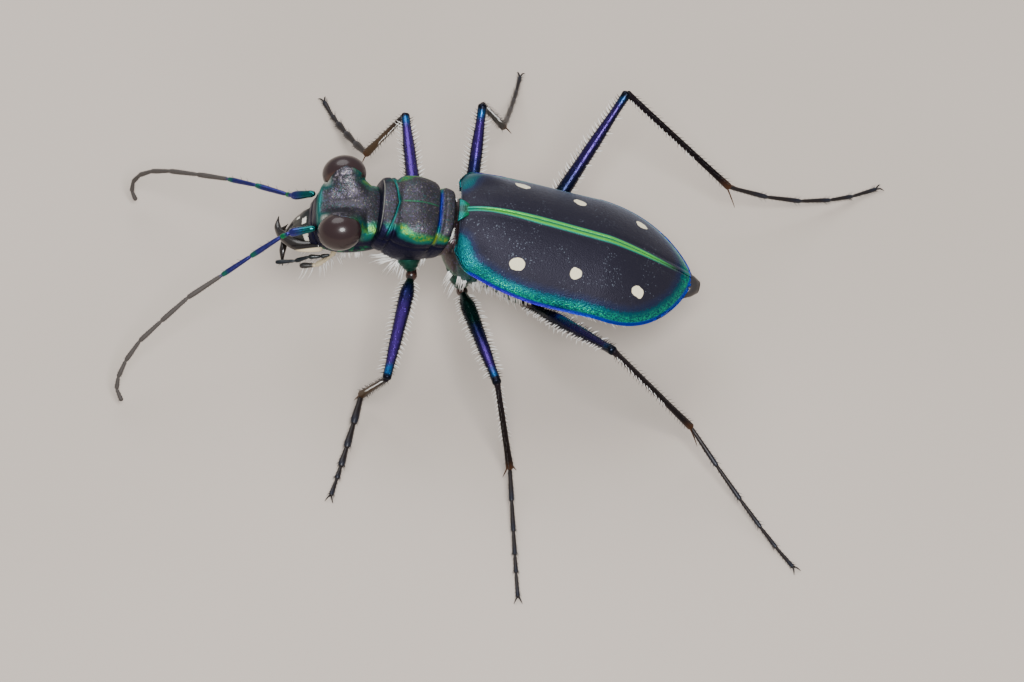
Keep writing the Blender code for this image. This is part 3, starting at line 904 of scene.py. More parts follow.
def flank(x, bottom, narrow):
    """(y, z) round the body below the wing cases, from the middle of its back."""
    inset = min(CASE_THICKNESS, 0.45 * case_half_width(x)) + 2 * GAP
    half_width = min(case_point(x, 1, inset)[0], narrow)

    def back(turn):
        across, height = case_point(x, abs(turn), inset)
        return math.copysign(min(across, half_width), turn), height

    edge = back(1)[1]
    points = [back(step / BACK_STEPS) for step in range(BACK_STEPS + 1)]
    for step in range(1, BELLY_STEPS):
        across, down = math.cos(math.pi * step / BELLY_STEPS), math.sin(math.pi * step / BELLY_STEPS)
        points.append((
            half_width * math.copysign(abs(across) ** 0.8, across), edge - (edge - bottom) * down ** 0.8))
    points += [back(step / BACK_STEPS - 1) for step in range(BACK_STEPS)]
    return evenly(points, TRUNK_SIDES)


def keel(sections, surface):
    """A body through sections of x and points, each carved from half its height."""
    rings = []
    for x, points in sections:
        heights = [z for _, z in points]
        rings.append(carved(x, (max(heights) + min(heights)) / 2, points, surface))
    return drawn(rings)


print("half width of the body at x = 2:", round(max(y for y, _ in flank(2.0, -2.6, 1.7)), 2), "mm")

# %% Plates of the thorax
THORAX_START = 0.02
THORAX_END = 3.69
THORAX_BOTTOM = -2.62
THORAX_HALF_WIDTH = 1.72
THORAX_RINGS = 72
STALK = [(-0.46, 0.84, -0.62, -2.02), (-0.30, 0.92, -0.40, -2.12), (-0.10, 1.02, -0.22, -2.24)]


def thorax_surface(x, y, z):
    side = between(z, 0.0, -0.6)
    seams = hill(x - 0.42 + 0.42 * (z + 1.4), 0.05) + hill(x - 1.18 + 0.50 * (z + 1.4), 0.05)
    lower = hill(z + 1.92 + 0.05 * x, 0.05) * between(x, 0.9, 1.3)
    hip = hill(x - 2.75 + 0.5 * (abs(y) - 1), 0.06) * between(z, -1.3, -1.9)
    swell = 0.05 * hill(x - 0.85, 0.25) * hill(z + 1.5, 0.5)
    return side * (swell - 0.055 * seams - 0.05 * lower - 0.06 * hip)


def thorax():
    sections = [(x, section(wide, top, low, -1.1, 2.4, TRUNK_SIDES)) for x, wide, top, low in STALK]
    for step in range(THORAX_RINGS):
        x = THORAX_START + (THORAX_END - THORAX_START) * step / (THORAX_RINGS - 1)
        bottom = THORAX_BOTTOM + 0.45 * (1 - min(x / 0.8, 1)) ** 2
        sections.append((x, flank(x, bottom, THORAX_HALF_WIDTH)))
    return keel(sections, thorax_surface)


thorax_bm = thorax()
hosts["thorax"] = search_tree(thorax_bm)
print("thorax of", len(thorax_bm.faces), "faces")

# %% Rings of the belly
ABDOMEN_START = 3.72
ABDOMEN_LAST_RING = 8.72
ABDOMEN_BOTTOM = -2.50
ABDOMEN_RISE = 1.35
ABDOMEN_HALF_WIDTH = 1.95
ABDOMEN_RINGS = 96
BELLY_SEAMS = (4.55, 5.35, 6.15, 6.95, 7.70, 8.30)
TAIL = [(8.90, 0.56, -0.36, -1.10), (9.20, 0.42, -0.38, -0.98), (9.42, 0.24, -0.44, -0.84)]


def belly_surface(x, _, z):
    """Each ring of the belly ends in an edge that stands over the next one."""
    below = between(z, 0.1, -0.8)
    last = max([seam for seam in BELLY_SEAMS if seam <= x], default=ABDOMEN_START)
    return -0.06 * below * (1 - min((x - last) / 0.7, 1)) ** 2


def abdomen():
    sections = []
    for step in range(ABDOMEN_RINGS):
        share = step / (ABDOMEN_RINGS - 1)
        x = ABDOMEN_START - 0.02 + (ABDOMEN_LAST_RING - ABDOMEN_START + 0.02) * share
        sections.append((x, flank(x, ABDOMEN_BOTTOM + ABDOMEN_RISE * share ** 2.2, ABDOMEN_HALF_WIDTH)))
    for x, wide, top, low in TAIL:
        sections.append((x, section(wide, top, low, (top + low) / 2, 2.1, TRUNK_SIDES)))
    return keel(sections, belly_surface)


abdomen_bm = abdomen()
hosts["abdomen"] = search_tree(abdomen_bm)
print("abdomen of", len(abdomen_bm.faces), "faces")

# %% [markdown]
# The plates are bronze in front and dark green below, the belly nearly black with a duller last ring.
# Both have the same small grains as the rest of the shell.

# %% Finish of the thorax and the belly
THORAX_TEAL = (0.003, 0.075, 0.070)
THORAX_GREEN = (0.006, 0.13, 0.050)
BELLY_BLACK = (0.012, 0.010, 0.016)
LAST_RING_GREY = (0.050, 0.044, 0.044)


def thorax_recipe(wire):
    place = undo(wire, TRUNK)
    x, _, z = place.parts()
    drift = clouds(place, 1.8) - 0.5
    colour = layered(
        SHELL_BRONZE,
        ((x + drift).step(0.2, 1.0), THORAX_TEAL),
        ((z + drift * 0.8).step(-1.6, -2.3), THORAX_GREEN),
        ((x + drift * 2).step(1.4, 2.8) * 0.8, SHELL_NIGHT))
    colour = glitter(place, colour, 13.0)
    shine = relief(grains(place, 16.0), 0.4, 0.014)
    return {"Base Color": colour, "Normal": shine, "Roughness": 0.34 + drift * 0.14}


def belly_recipe(wire):
    place = undo(wire, TRUNK)
    x, y, _ = place.parts()
    drift = clouds(place, 2.0) - 0.5
    colour = layered(
        BELLY_BLACK, ((abs(y) + drift).step(0.5, 1.5), SHELL_NIGHT), (x.step(8.7, 9.0), LAST_RING_GREY))
    shine = relief(grains(place, 14.0), 0.35, 0.014)
    return {"Base Color": colour, "Normal": shine, "Roughness": 0.32 + drift * 0.12}


thorax_look = paint("thorax_metal", thorax_recipe, Metallic=0.65)
belly_look = paint("belly_gloss", belly_recipe, Metallic=0.45)
piece("thorax_plates", thorax_bm, TRUNK, thorax_look, "pterothorax")
piece("abdomen_rings", abdomen_bm, TRUNK, belly_look, "abdomen")

# %% [markdown]
# The scutellum is the small triangle that locks the wing cases at their base. A grid pinched to a point
# makes it, arched a little, with a wall below.

# %% Scutellum
SCUTELLUM_START = -0.11
SCUTELLUM_LENGTH = 0.62
SCUTELLUM_HALF_WIDTH = 0.50
SCUTELLUM_TOP = 0.20
SCUTELLUM_WALL = 0.06


def scutellum():
    bm = bmesh.new()
    bmesh.ops.create_grid(bm, x_segments=30, y_segments=30, size=1)
    for vert in bm.verts:
        share, across = (vert.co.x + 1) / 2, vert.co.y
        width = SCUTELLUM_HALF_WIDTH * (1 - share ** 1.15) + 0.02
        hollow = -0.03 * hill(across, 0.5) * hill(share - 0.4, 0.3)
        bead = 0.025 * hill(abs(across) - 0.88, 0.12)
        height = SCUTELLUM_TOP - 0.10 * across ** 4 - 0.16 * (1 - share) ** 4 + hollow + bead
        vert.co = (SCUTELLUM_START + SCUTELLUM_LENGTH * share, width * across, height)
    thicken(bm, SCUTELLUM_WALL)
    return bm


def scutellum_recipe(wire):
    place = undo(wire, TRUNK)
    x, y, _ = place.parts()
    colour = layered(
        SHELL_TEAL, (x.step(-0.05, 0.25), SHELL_GREEN), (abs(y).step(0.24, 0.08) * 0.6, SHELL_BRONZE))
    shine = relief(grains(place, 18.0), 0.5, 0.014)
    return {"Base Color": colour, "Normal": shine}


piece(
    "scutellum_plate", scutellum(), TRUNK,
    paint("scutellum_metal", scutellum_recipe, Metallic=0.85, Roughness=0.38), "scutellum")

# %% [markdown]
# ## The head
#
# The head is wider than the neck shield, because of the eyes. Between them the crown is hollow, and in
# front it falls steeply to the upper lip. It is drawn like the neck shield, in a frame of its own that
# dips forward. Afterwards the shell is lifted to climb over the inner side of each eye as a brow. Its edge
# is where it dips below the eye's dome, so the two surfaces meet in one clean line.

# %% Head capsule
HEAD_STATIONS = [  # x, half width, top, bottom, level of the widest point, squareness
    (0.45, 0.70, 0.02, -0.90, -0.40, 2.2),
    (0.18, 1.08, 0.24, -1.12, -0.40, 2.3),
    (-0.19, 1.20, 0.44, -1.25, -0.38, 2.4),
    (-0.60, 1.22, 0.56, -1.30, -0.35, 2.5),
    (-1.00, 1.22, 0.66, -1.30, -0.32, 2.5),
    (-1.40, 1.18, 0.78, -1.26, -0.30, 2.5),
    (-1.76, 1.08, 0.84, -1.18, -0.30, 2.5),
    (-1.98, 1.00, 0.66, -1.08, -0.30, 2.5),
    (-2.20, 0.94, 0.32, -0.98, -0.34, 2.6),
    (-2.42, 0.86, 0.00, -0.86, -0.40, 2.8),
]
SOCKET = Vector((-2.08, 0.76, 0.35))


def head_surface(x, y, z):
    top = between(z, -0.1, 0.25)
    crown = -0.10 * hill(y, 0.5) * hill(x + 1.25, 0.55)
    edge = 0.03 * hill(x + 1.80, 0.08) * between(z, 0.4, 0.6)
    lip_groove = -0.05 * hill(x + 2.24 - 0.10 * y * y, 0.035)
    pit = -0.10 * hill((Vector((x, abs(y), z)) - SOCKET).length, 0.15)
    cheek = -0.05 * hill(z + 0.42 + 0.12 * (x + 1), 0.05) * hill(x + 1.3, 0.8) + 0.04 * hill(z + 0.75, 0.25)
    return top * (crown + edge) + lip_groove + pit + cheek * between(z, -0.1, -0.3)


head_bm = plated(HEAD_STATIONS, 130, 180, head_surface)
print("head of", len(head_bm.faces), "faces")

# %% Brows over the eyes
EYE_PLACE = (-1.00, 1.29, 0.62)
EYE_SIZE = (0.80, 0.66, 0.70)
BROW_REACH = 1.1  # of the eye's half length, before and behind its middle
BROW_EDGE = 1.04
BROW_SLANT = 0.47
BROW_TOP = 1.19


def lift_brows(bm):
    """Lifts the crown beside each eye over the eye's dome, and lets it dip below the dome outside."""
    for vert in bm.verts:
        x, across = vert.co.x - EYE_PLACE[0], abs(vert.co.y)
        along = x / EYE_SIZE[0]
        if vert.co.z < 0.1 or abs(along) > BROW_REACH:
            continue
        swell = (1 - (along / BROW_REACH) ** 2) * between(across, 0.12, 1.00)
        height = vert.co.z + (BROW_TOP - vert.co.z) * swell
        room = 1 - along ** 2 - ((across - EYE_PLACE[1]) / EYE_SIZE[1]) ** 2
        if room > 0:
            dome = EYE_PLACE[2] + EYE_SIZE[2] * math.sqrt(room)
            past = between(across - BROW_SLANT * x, BROW_EDGE - 0.05, BROW_EDGE + 0.06)
            cover = max(height, dome + 0.03)
            height = cover + (dome - 0.07 - cover) * past
        ridges = 0.006 * math.sin(60 * across) * between(across, 0.5, 0.7)
        vert.co.z = max(vert.co.z, height + ridges * swell)


lift_brows(head_bm)
hosts["head"] = search_tree(head_bm)
print("top of the brows:", round(max(vert.co.z for vert in head_bm.verts), 2), "mm above the neck")

# %% [markdown]
# The crown has the shell's grey with its glints. The wrinkled brows carry pale painted highlights, and a
# painted highlight lies at the front corner of each. A dark teal rim runs above the face. The temples
# behind the eyes and the cheeks are green.

# %% Finish of the head
# a pale colour for the painted highlight on the wrinkled brows
BROW_PAINTED_HIGHLIGHT = (0.42, 0.36, 0.42)


def head_recipe(wire):
    place = undo(wire, HEAD)
    x, y, z = place.parts()
    drift = clouds(place, 2.6) - 0.5
    side = abs(y) + drift * 0.3
    # where the painted highlight lies on the wrinkled brows beside each eye
    brow_highlight = side.bump_at(0.84, 0.24) * x.bump_at(-1.0, 0.7) * clouds(place, 9.0).step(0.45, 0.65)
    brow_front = side.step(0.42, 0.75) * x.step(-1.18, -1.50) * z.step(0.25, 0.45)
    temple = side.step(0.60, 1.00) * x.step(-0.55, -0.20)
    patches = clouds(place, 4.0).step(0.42, 0.62)
    cheek = (z + drift * 0.3).bump_at(-0.62, 0.2) * x.step(0.0, -0.6)
    colour = layered(
        glitter(place, SHELL_GREY),
        # painted highlight: pale patches on the wrinkled brows, as if they were lit
        (brow_highlight * 0.9, BROW_PAINTED_HIGHLIGHT),
        (brow_front, SHELL_TEAL),
        # painted highlight: a pale spot at the front corner of each brow
        (brow_front * side.bump_at(0.80, 0.20) * x.bump_at(-1.50, 0.30), PAINTED_HIGHLIGHT),
        ((x + drift * 0.15).step(-1.62, -1.82), SHELL_TEAL),
        ((x + drift * 0.1).step(-1.86, -1.98), SHELL_NIGHT),
        (temple, SHELL_TEAL),
        (temple * patches, SHELL_GREEN),
        (temple * patches * side.bump_at(0.95, 0.2) * 0.5, SHELL_GOLD),
        ((z + drift * 0.2).step(-0.05, -0.30), SHELL_NIGHT),
        (cheek * patches, SHELL_GREEN))
    shine = relief(grains(place, 19.0), 0.45, 0.014)
    shine = relief(clouds(place, 6.0, 4.0), 0.4, 0.05, shine)
    return {
        "Base Color": colour, "Normal": shine, "Roughness": 0.42 + drift * 0.16,
        "Metallic": 0.86 - brow_highlight * 0.6}


head_look = paint("head_metal", head_recipe)
piece("head_capsule", head_bm, HEAD, head_look, "head")

# %% [markdown]
# The eyes are the glossiest part of the beetle: brown domes of thousands of facets, so small that they
# only soften the light. A coat over a fine grained bump gives that. A paler ring lies where the dome
# meets the head.

# %% Eyes
EYE_BLACK = (0.014, 0.006, 0.006)
EYE_BROWN = (0.024, 0.012, 0.013)
EYE_COLLAR = (0.050, 0.024, 0.018)


def eye(side):
    bm = bmesh.new()
    bmesh.ops.create_uvsphere(bm, u_segments=72, v_segments=44, radius=1)
    x, y, z = EYE_PLACE
    for vert in bm.verts:
        vert.co = Vector((x, side * y, z)) + vert.co * Vector(EYE_SIZE)
    return bm


def eye_recipe(wire):
    place = undo(wire, HEAD)
    _, y, z = place.parts()
    drift = clouds(place, 1.5) - 0.5
    collar = (abs(y) + drift * 0.06).step(1.02, 0.90)
    colour = layered(EYE_BLACK, ((z + drift).step(0.1, 1.0), EYE_BROWN), (collar, EYE_COLLAR))
    return {"Base Color": colour, "Normal": relief(grains(place, 34.0), 0.10, 0.006)}


eye_look = paint(
    "eye_dome", eye_recipe, Roughness=0.30, Specular_IOR_Level=0.25, Coat_Weight=0.35, Coat_Roughness=0.05)
for side, word in SIDE_NAMES.items():
    piece(f"eye_{word}_dome", eye(side), HEAD, eye_look, f"eye_{word}")

# %% [markdown]
# The upper lip hangs like a visor over the jaws. It is black, with cream patches, a few pores and small
# teeth along its front edge. A grid gives it, bent down and pinched to those teeth.

# %% Upper lip
LABRUM_ROOT = Vector((-2.34, 0, -0.04))
LABRUM_FRONT = Vector((-3.14, 0, -0.46))
LABRUM_HALF_WIDTH = 0.82
LABRUM_WALL = 0.09
LIP_CURL = 1.15  # radians from its middle to its side
LIP_BLACK = (0.012, 0.014, 0.013)
LIP_CREAM = (0.80, 0.77, 0.66)
LIP_PORE = (0.01, 0.01, 0.01)


def labrum():
    bm = bmesh.new()
    share_layer = bm.verts.layers.float.new("share")
    across_layer = bm.verts.layers.float.new("across")
    bmesh.ops.create_grid(bm, x_segments=40, y_segments=72, size=1)
    for vert in bm.verts:
        share, across = (vert.co.x + 1) / 2, vert.co.y
        teeth = 0.08 * abs(math.cos(3.5 * math.pi * across)) * between(share, 0.75, 1.0)
        reach = share * (1 - 0.18 * across ** 2) + teeth
        place = LABRUM_ROOT.lerp(LABRUM_FRONT, reach)
        place.x += 0.16 * across ** 2 * (1 - share)
        place.y = LABRUM_HALF_WIDTH * math.sin(LIP_CURL * across) / math.sin(LIP_CURL) * (1 - 0.20 * share)
        place.z -= 0.34 * across ** 4 + 0.10 * across ** 2 * share - 0.07 * math.sin(math.pi * share)
        vert[share_layer], vert[across_layer] = share, across
        vert.co = place
    thicken(bm, LABRUM_WALL)
    return bm


def labrum_recipe(wire):
    place = undo(wire, HEAD)
    ragged = (clouds(place, 6.0, 2.0) - 0.5) * 0.16
    share, across = attribute(wire, "share") + ragged, abs(attribute(wire, "across")) + ragged
    square = across.bump_at(0.78, 0.24).step(0.1, 0.25) * share.bump_at(0.26, 0.34).step(0.1, 0.3)
    middle = across.step(0.16, 0.10) * share.bump_at(0.36, 0.16).step(0.1, 0.3)
    dots = across.bump_at(0.30, 0.10).step(0.3, 0.5) * share.bump_at(0.72, 0.14).step(0.3, 0.5)
    patch = wire.math("MAXIMUM", wire.math("MAXIMUM", square, middle), dots)
    pore = across.bump_at(0.80, 0.07) * share.bump_at(0.24, 0.10)
    colour = layered(LIP_BLACK, (patch, LIP_CREAM), (pore.step(0.2, 0.4), LIP_PORE))
    shine = relief(clouds(place, 12.0), 0.2, 0.02)
    return {"Base Color": colour, "Roughness": 0.28 + patch * 0.2, "Normal": shine}


piece("labrum_lip", labrum(), HEAD, paint("lip_horn", labrum_recipe), "labrum")

# %% [markdown]
# The jaws are crossed sickles with long teeth on their inner edge. A stem draws the blade, and smaller
# stems the teeth. The left blade passes over the right one, whose tip points down.

# %% Jaws
MANDIBLES = {
    LEFT: [
        (-2.16, -0.80, -0.62), (-2.75, -0.78, -0.60), (-3.25, -0.52, -0.60), (-3.66, -0.05, -0.68),
        (-3.82, 0.32, -0.70), (-3.76, 0.64, -0.56),
    ],
    RIGHT: [
        (-2.16, 0.80, -0.62), (-2.75, 0.78, -0.88), (-3.25, 0.50, -1.02), (-3.58, 0.00, -1.08),
        (-3.70, -0.50, -1.12), (-3.77, -0.90, -1.45),
    ],
}
BLADE = [(0, 0.27), (0.25, 0.24), (0.5, 0.19), (0.75, 0.13), (1, 0.02)]
TOOTH_SHARES = (0.36, 0.50, 0.64)
TOOTH_LENGTH = 0.26
JAW_BLACK = (0.010, 0.007, 0.006)
JAW_CREAM = (0.74, 0.62, 0.42)


def jaw(side):
    blade = Stem(MANDIBLES[side], BLADE, flat=0.8)
    bm = limb(blade, 20, 40)
    for share in TOOTH_SHARES:
        root, ahead, across, _ = blade.at(share)
        inward = across if across.y * side < 0 else -across
        tip = root + inward * (blade.radius(share) + TOOTH_LENGTH) + ahead * 0.14
        limb(Stem([root, root.lerp(tip, 0.5), tip], [(0, 0.13), (1, 0.012)]), 10, 8, bm)
    return bm


def jaw_recipe(wire):
    place = undo(wire, HEAD)
    x, y, z = place.parts()
    pale = x.step(-3.15, -3.00) * (abs(y) * 0.81 - z * 0.58).step(1.08, 1.13)
    colour = mix(pale, JAW_BLACK, JAW_CREAM)
    shine = relief(clouds(place, 9.0), 0.15, 0.03)
    return {"Base Color": colour, "Roughness": 0.22 + pale * 0.2, "Normal": shine}


jaw_look = paint("jaw_horn", jaw_recipe, Coat_Weight=0.3, Coat_Roughness=0.1)
for side, word in SIDE_NAMES.items():
    piece(f"mandible_{word}_blade", jaw(side), HEAD, jaw_look, f"mandible_{word}")

# %% [markdown]
# ## Limbs of many segments
#
# Palps, feelers and feet are all rows of segments, each thin at its root and thicker at its end. One
# function draws such a row through its joints, and returns a stem for each segment so that hairs can be
# planted on it.

# %% Rows of segments
def segments(joints, radii, sides=12, swell=1.25, neck=0.62, rings=9):
    """A row of segments between joints. radii has one number for each segment."""
    bm = bmesh.new()
    stems = []
    count = len(joints) - 1
    for index, (start, end) in enumerate(zip(joints, joints[1:])):
        start, end = Vector(start), Vector(end)
        radius = radii[index]
        profile = [(0, radius * neck), (0.18, radius * 0.9), (0.82, radius * swell), (1, radius * 0.95)]
        short = (end - start).normalized() * radius * 0.3
        stem = Stem([start + short, start.lerp(end, 0.5), end - short], profile)
        limb(stem, sides, rings, bm, (index / count, (index + 1) / count))
        stems.append(stem)
    return bm, stems


trial_bm, trial_stems = segments([(0, 0, 0), (1, 0, 0), (2, 0, 0)], (0.1, 0.1))
print("two joints and a root give", len(trial_stems), "segments of", len(trial_bm.faces), "faces in all")
trial_bm.free()

# %% Palps
MAXILLARY_PALPS = {
    LEFT: [
        (-1.92, -0.90, -1.16), (-2.25, -0.94, -1.14), (-2.66, -0.96, -1.05), (-3.19, -1.00, -1.14),
        (-3.90, -1.00, -1.08),
    ],
    RIGHT: [
        (-1.92, 0.90, -1.16), (-2.25, 0.86, -1.28), (-2.66, 0.80, -1.40), (-3.19, 0.74, -1.50),
        (-3.85, 0.68, -1.54),
    ],
}
LABIAL_PALP = [(-1.70, 0.35, -1.35), (-2.05, 0.45, -1.78), (-2.72, 0.57, -2.09), (-3.30, 0.56, -2.02)]
palp_stems = {}


def palp_recipe(pale, dark, start):
    def recipe(wire):
        place = undo(wire, HEAD)
        along = attribute(wire, "along")
        colour = mix(along.step(start, start + 0.06), pale, dark)
        return {"Base Color": colour, "Normal": relief(clouds(place, 10.0), 0.25, 0.02)}
    return recipe


black_recipe = palp_recipe((0.012, 0.016, 0.018), (0.006, 0.010, 0.014), 0.5)
pale_recipe = palp_recipe((0.55, 0.46, 0.30), (0.02, 0.018, 0.016), 0.70)
black_palp = paint("black_palp", black_recipe, Roughness=0.3, Metallic=0.3)
pale_palp = paint("pale_palp", pale_recipe, Roughness=0.4)
for side, word in SIDE_NAMES.items():
    labial = [Vector((x, side * y, z)) for x, y, z in LABIAL_PALP]
    for kind, joints, radii, look, slot in (
            ("maxillary", MAXILLARY_PALPS[side], (0.065, 0.075, 0.07, 0.07), black_palp, "dark_cuticle"),
            ("labial", labial, (0.08, 0.085, 0.09), pale_palp, "pale_mouth")):
        palp_bm, palp_stems[kind, word] = segments(joints, radii)
        piece(f"{kind}_palp_{word}_feeler", palp_bm, HEAD, look, f"{kind}_palp_{word}")

# %% [markdown]
# A feeler has eleven segments. The thick first one and the tiny second have the shell's metal. The next
# two are smooth and violet blue, and the rest are dull, with a dense down of tiny hairs.

# %% Antennae
ANTENNA_JOINTS = {
    LEFT: [
        (-5.15, -0.76, 6.15), (-6.06, -0.86, 5.87), (-6.38, -0.94, 5.69), (-7.40, -1.38, 5.01),
        (-8.39, -1.83, 4.35), (-9.56, -2.42, 3.65), (-10.45, -3.01, 2.93), (-11.18, -3.51, 2.31),
        (-11.64, -4.00, 1.72), (-11.87, -4.40, 1.24), (-11.91, -4.66, 0.86), (-11.70, -4.95, 0.55),
    ],
    RIGHT: [
        (-5.28, 0.76, 6.15), (-6.09, 0.95, 5.66), (-6.30, 1.16, 5.44), (-7.44, 1.73, 5.08),
        (-8.45, 2.32, 4.53), (-9.60, 2.97, 3.80), (-10.64, 3.48, 3.20), (-11.33, 3.93, 2.50),
        (-11.77, 4.22, 1.83), (-12.01, 4.30, 1.28), (-12.04, 4.18, 0.86), (-11.88, 4.02, 0.55),
    ],
}
BASE_RADII = (0.145, 0.085)
ANTENNA_RADII = (0.095, 0.088, 0.085, 0.082, 0.080, 0.078, 0.076, 0.074, 0.072)
SCAPE_TEAL = (0.004, 0.10, 0.10)
SCAPE_VIOLET = (0.035, 0.035, 0.20)
FEELER_BLUE = (0.025, 0.025, 0.15)
FEELER_GREEN = (0.01, 0.14, 0.10)
FEELER_BROWN = (0.060, 0.050, 0.045)
antenna_stems = {}


def antenna_base_recipe(wire):
    place = undo(wire, FLOOR)
    along = attribute(wire, "along")
    colour = layered(
        SCAPE_TEAL, (along.step(0.15, 0.45), SCAPE_VIOLET), (along.step(0.60, 0.85), SHELL_GREEN))
    return {"Base Color": colour, "Normal": relief(clouds(place, 12.0), 0.2, 0.02)}


def antenna_recipe(wire):
    place = undo(wire, FLOOR)
    along = attribute(wire, "along")
    within = wire.math("FRACT", along * len(ANTENNA_RADII))
    metal = along.step(0.235, 0.215)
    colour = mix(within.step(0.72, 0.9), FEELER_BLUE, FEELER_GREEN)
    colour = mix(metal, FEELER_BROWN, colour)
    down = relief(grains(place, 26.0), 0.5, 0.012)
    return {"Base Color": colour, "Normal": down, "Metallic": metal * 0.8, "Roughness": 0.62 - metal * 0.32}


base_look = paint("scape_metal", antenna_base_recipe, Metallic=0.85, Roughness=0.18)
feeler_look = paint("feeler_down", antenna_recipe)
for side, word in SIDE_NAMES.items():
    joints = ANTENNA_JOINTS[side]
    base_bm, base_stems = segments(joints[:3], BASE_RADII, sides=18, swell=1.12, rings=14)
    piece(f"antenna_base_{word}_scape", base_bm, FLOOR, base_look, f"antenna_base_{word}")
    thin_bm, thin_stems = segments(joints[2:], ANTENNA_RADII, swell=1.12, neck=0.7, rings=10)
    antenna_stems[word] = base_stems + thin_stems
    piece(f"antenna_{word}_thread", thin_bm, FLOOR, feeler_look, f"antenna_{word}")

# %% [markdown]
# ## The legs
#
# A leg's five parts follow the joints of the solid: the cone of the coxa, the bean of the trochanter,
# the long femur and tibia, and a foot of five segments with two claws. The front feet of this male have
# three broad segments. The feet come down in a curve and lie on the floor.

# %% Where the legs stand
LEGS = {  # hip, knee, ankle, x and y of the claws' tips, and the bow of the foot
    "front_left": ((-1.62, -1.41, 4.69), (-2.24, -5.32, 3.60), (-3.12, -4.04, 0.70), (-3.99, -8.32), 0.14),
    "front_right": ((-1.62, 1.41, 4.69), (-2.28, 5.44, 4.97), (-3.62, 5.80, 1.99), (-5.43, 9.65), 0.0),
    "middle_left": ((0.20, -1.27, 3.73), (1.70, -5.67, 4.32), (2.38, -6.85, 0.79), (3.00, -12.14), 0.0),
    "middle_right": ((0.20, 1.27, 3.73), (0.49, 5.37, 5.99), (1.30, 6.98, 2.65), (1.82, 11.45), 0.0),
    "hind_left": ((2.45, -1.26, 3.21), (5.71, -5.67, 6.77), (8.74, -5.22, 1.82), (12.86, -9.96), 0.0),
    "hind_right": ((2.45, 1.26, 3.21), (5.67, 6.06, 6.40), (9.66, 5.25, 2.24), (15.33, 7.38), 0.38),
}
COXA_ROOTS = {"front": (-1.25, 0.72, -2.05), "middle": (0.75, 0.95, -1.95), "hind": (1.90, 0.70, -2.05)}
print("thighs in mm:", {name: round(math.dist(hip, knee), 2) for name, (hip, knee, *_) in LEGS.items()})

# %% [markdown]
# A foot comes down in a curve, broad at first in the front legs, and ends in two claws that spread apart.

# %% Feet and claws
FOOT_SHARES = {
    "front": (0.26, 0.22, 0.19, 0.13, 0.20), "middle": (0.25, 0.23, 0.18, 0.14, 0.20),
    "hind": (0.26, 0.23, 0.20, 0.15, 0.16),
}
FOOT_RADII = {
    "front": (0.11, 0.105, 0.10, 0.075, 0.07), "middle": (0.085, 0.08, 0.075, 0.07, 0.065),
    "hind": (0.085, 0.08, 0.075, 0.07, 0.065),
}
CLAW_LENGTH = 0.30
CLAW_END_HEIGHT = 0.02
FOOT_FALL = 1.5
FOOT_CLEARANCE = 1.12  # of a segment's radius


def foot_point(ankle, tip, bow, share, lift):
    """A point of the foot's middle line, which comes down in a curve and then lies along the floor."""
    point = ankle.lerp(tip, share)
    point.y -= bow * math.sin(math.pi * share)
    point.z = max(ankle.z * (1 - share) ** FOOT_FALL, lift)
    return point


def claw(bm, root, ahead, aside, mark):
    """A curved claw that spreads to one side and ends on the floor."""
    middle = root + ahead * CLAW_LENGTH * 0.5 + aside * 0.07 + Vector((0, 0, 0.05))
    tip = root + ahead * CLAW_LENGTH * 0.95 + aside * 0.15
    tip.z = CLAW_END_HEIGHT
    limb(Stem([root, middle, tip], [(0, 0.036), (0.5, 0.028), (1, 0.010)]), 8, 8, bm, (mark, mark))


def foot(pair, ankle, tip, bow):
    """Five segments and two claws."""
    total = (ankle - tip).length
    claws_share = 0.8 * CLAW_LENGTH / total
    marks, joints = [0.0], []
    for share in FOOT_SHARES[pair]:
        marks.append(marks[-1] + share * (1 - claws_share))
    for index, mark in enumerate(marks):
        radius = FOOT_RADII[pair][min(index, 4)]
        joints.append(foot_point(ankle, tip, bow, mark, radius * FOOT_CLEARANCE))
    broad, neck = (1.30, 0.80) if pair == "front" else (1.12, 0.75)
    bm, stems = segments(joints, FOOT_RADII[pair], swell=broad, neck=neck, rings=10)
    end = joints[-1]
    ahead = (end - joints[-2]).normalized()
    ahead.z = 0
    aside = ahead.cross(Vector((0, 0, 1)))
    for hand in (1, -1):
        claw(bm, end - ahead * 0.03, ahead, aside * hand, 1.0)
    return bm, stems


print("segments of a foot:", {pair: len(shares) for pair, shares in FOOT_SHARES.items()})

# %% [markdown]
# Each shin ends in two spurs, which are longest in the hind legs.

# %% Spurs of the shins
SPUR_LENGTHS = {"front": 0.5, "middle": 0.5, "hind": 0.85}
SPUR_END_HEIGHT = 0.03


def spurs(bm, stem, pair):
    """The two slender spurs at the end of a tibia."""
    end, ahead, side, rise = stem.at(1)
    for hand, share in ((1, 1.0), (-1, 0.8)):
        root = end + side * hand * stem.radius(1) * 0.6 - ahead * 0.05
        tip = root + (ahead * 0.85 + side * hand * 0.42 - rise * 0.15) * SPUR_LENGTHS[pair] * share
        tip.z = max(tip.z, SPUR_END_HEIGHT)
        spur = Stem([root, root.lerp(tip, 0.5) + rise * 0.01, tip], [(0, 0.032), (0.6, 0.022), (1, 0.008)])
        limb(spur, 8, 6, bm, (1, 1))


print("spurs in mm:", SPUR_LENGTHS)

# %% [markdown]
# Along its length a thigh goes from a green black root over indigo, violet and blue to a black knee. Its
# sides carry painted shade, so that its upper edge reads as a painted highlight. The shins and feet are dull
# horn, brown in front and nearly black behind. The mesh of each limb stored how far along it and how near
# its upper side a point is, and the painted shade follows the second.

# %% Finish of the thighs
FEMUR_ROOT = (0.002, 0.028, 0.022)
FEMUR_INDIGO = (0.014, 0.016, 0.090)
FEMUR_VIOLET = (0.060, 0.024, 0.21)
FEMUR_BLUE = (0.01, 0.11, 0.33)
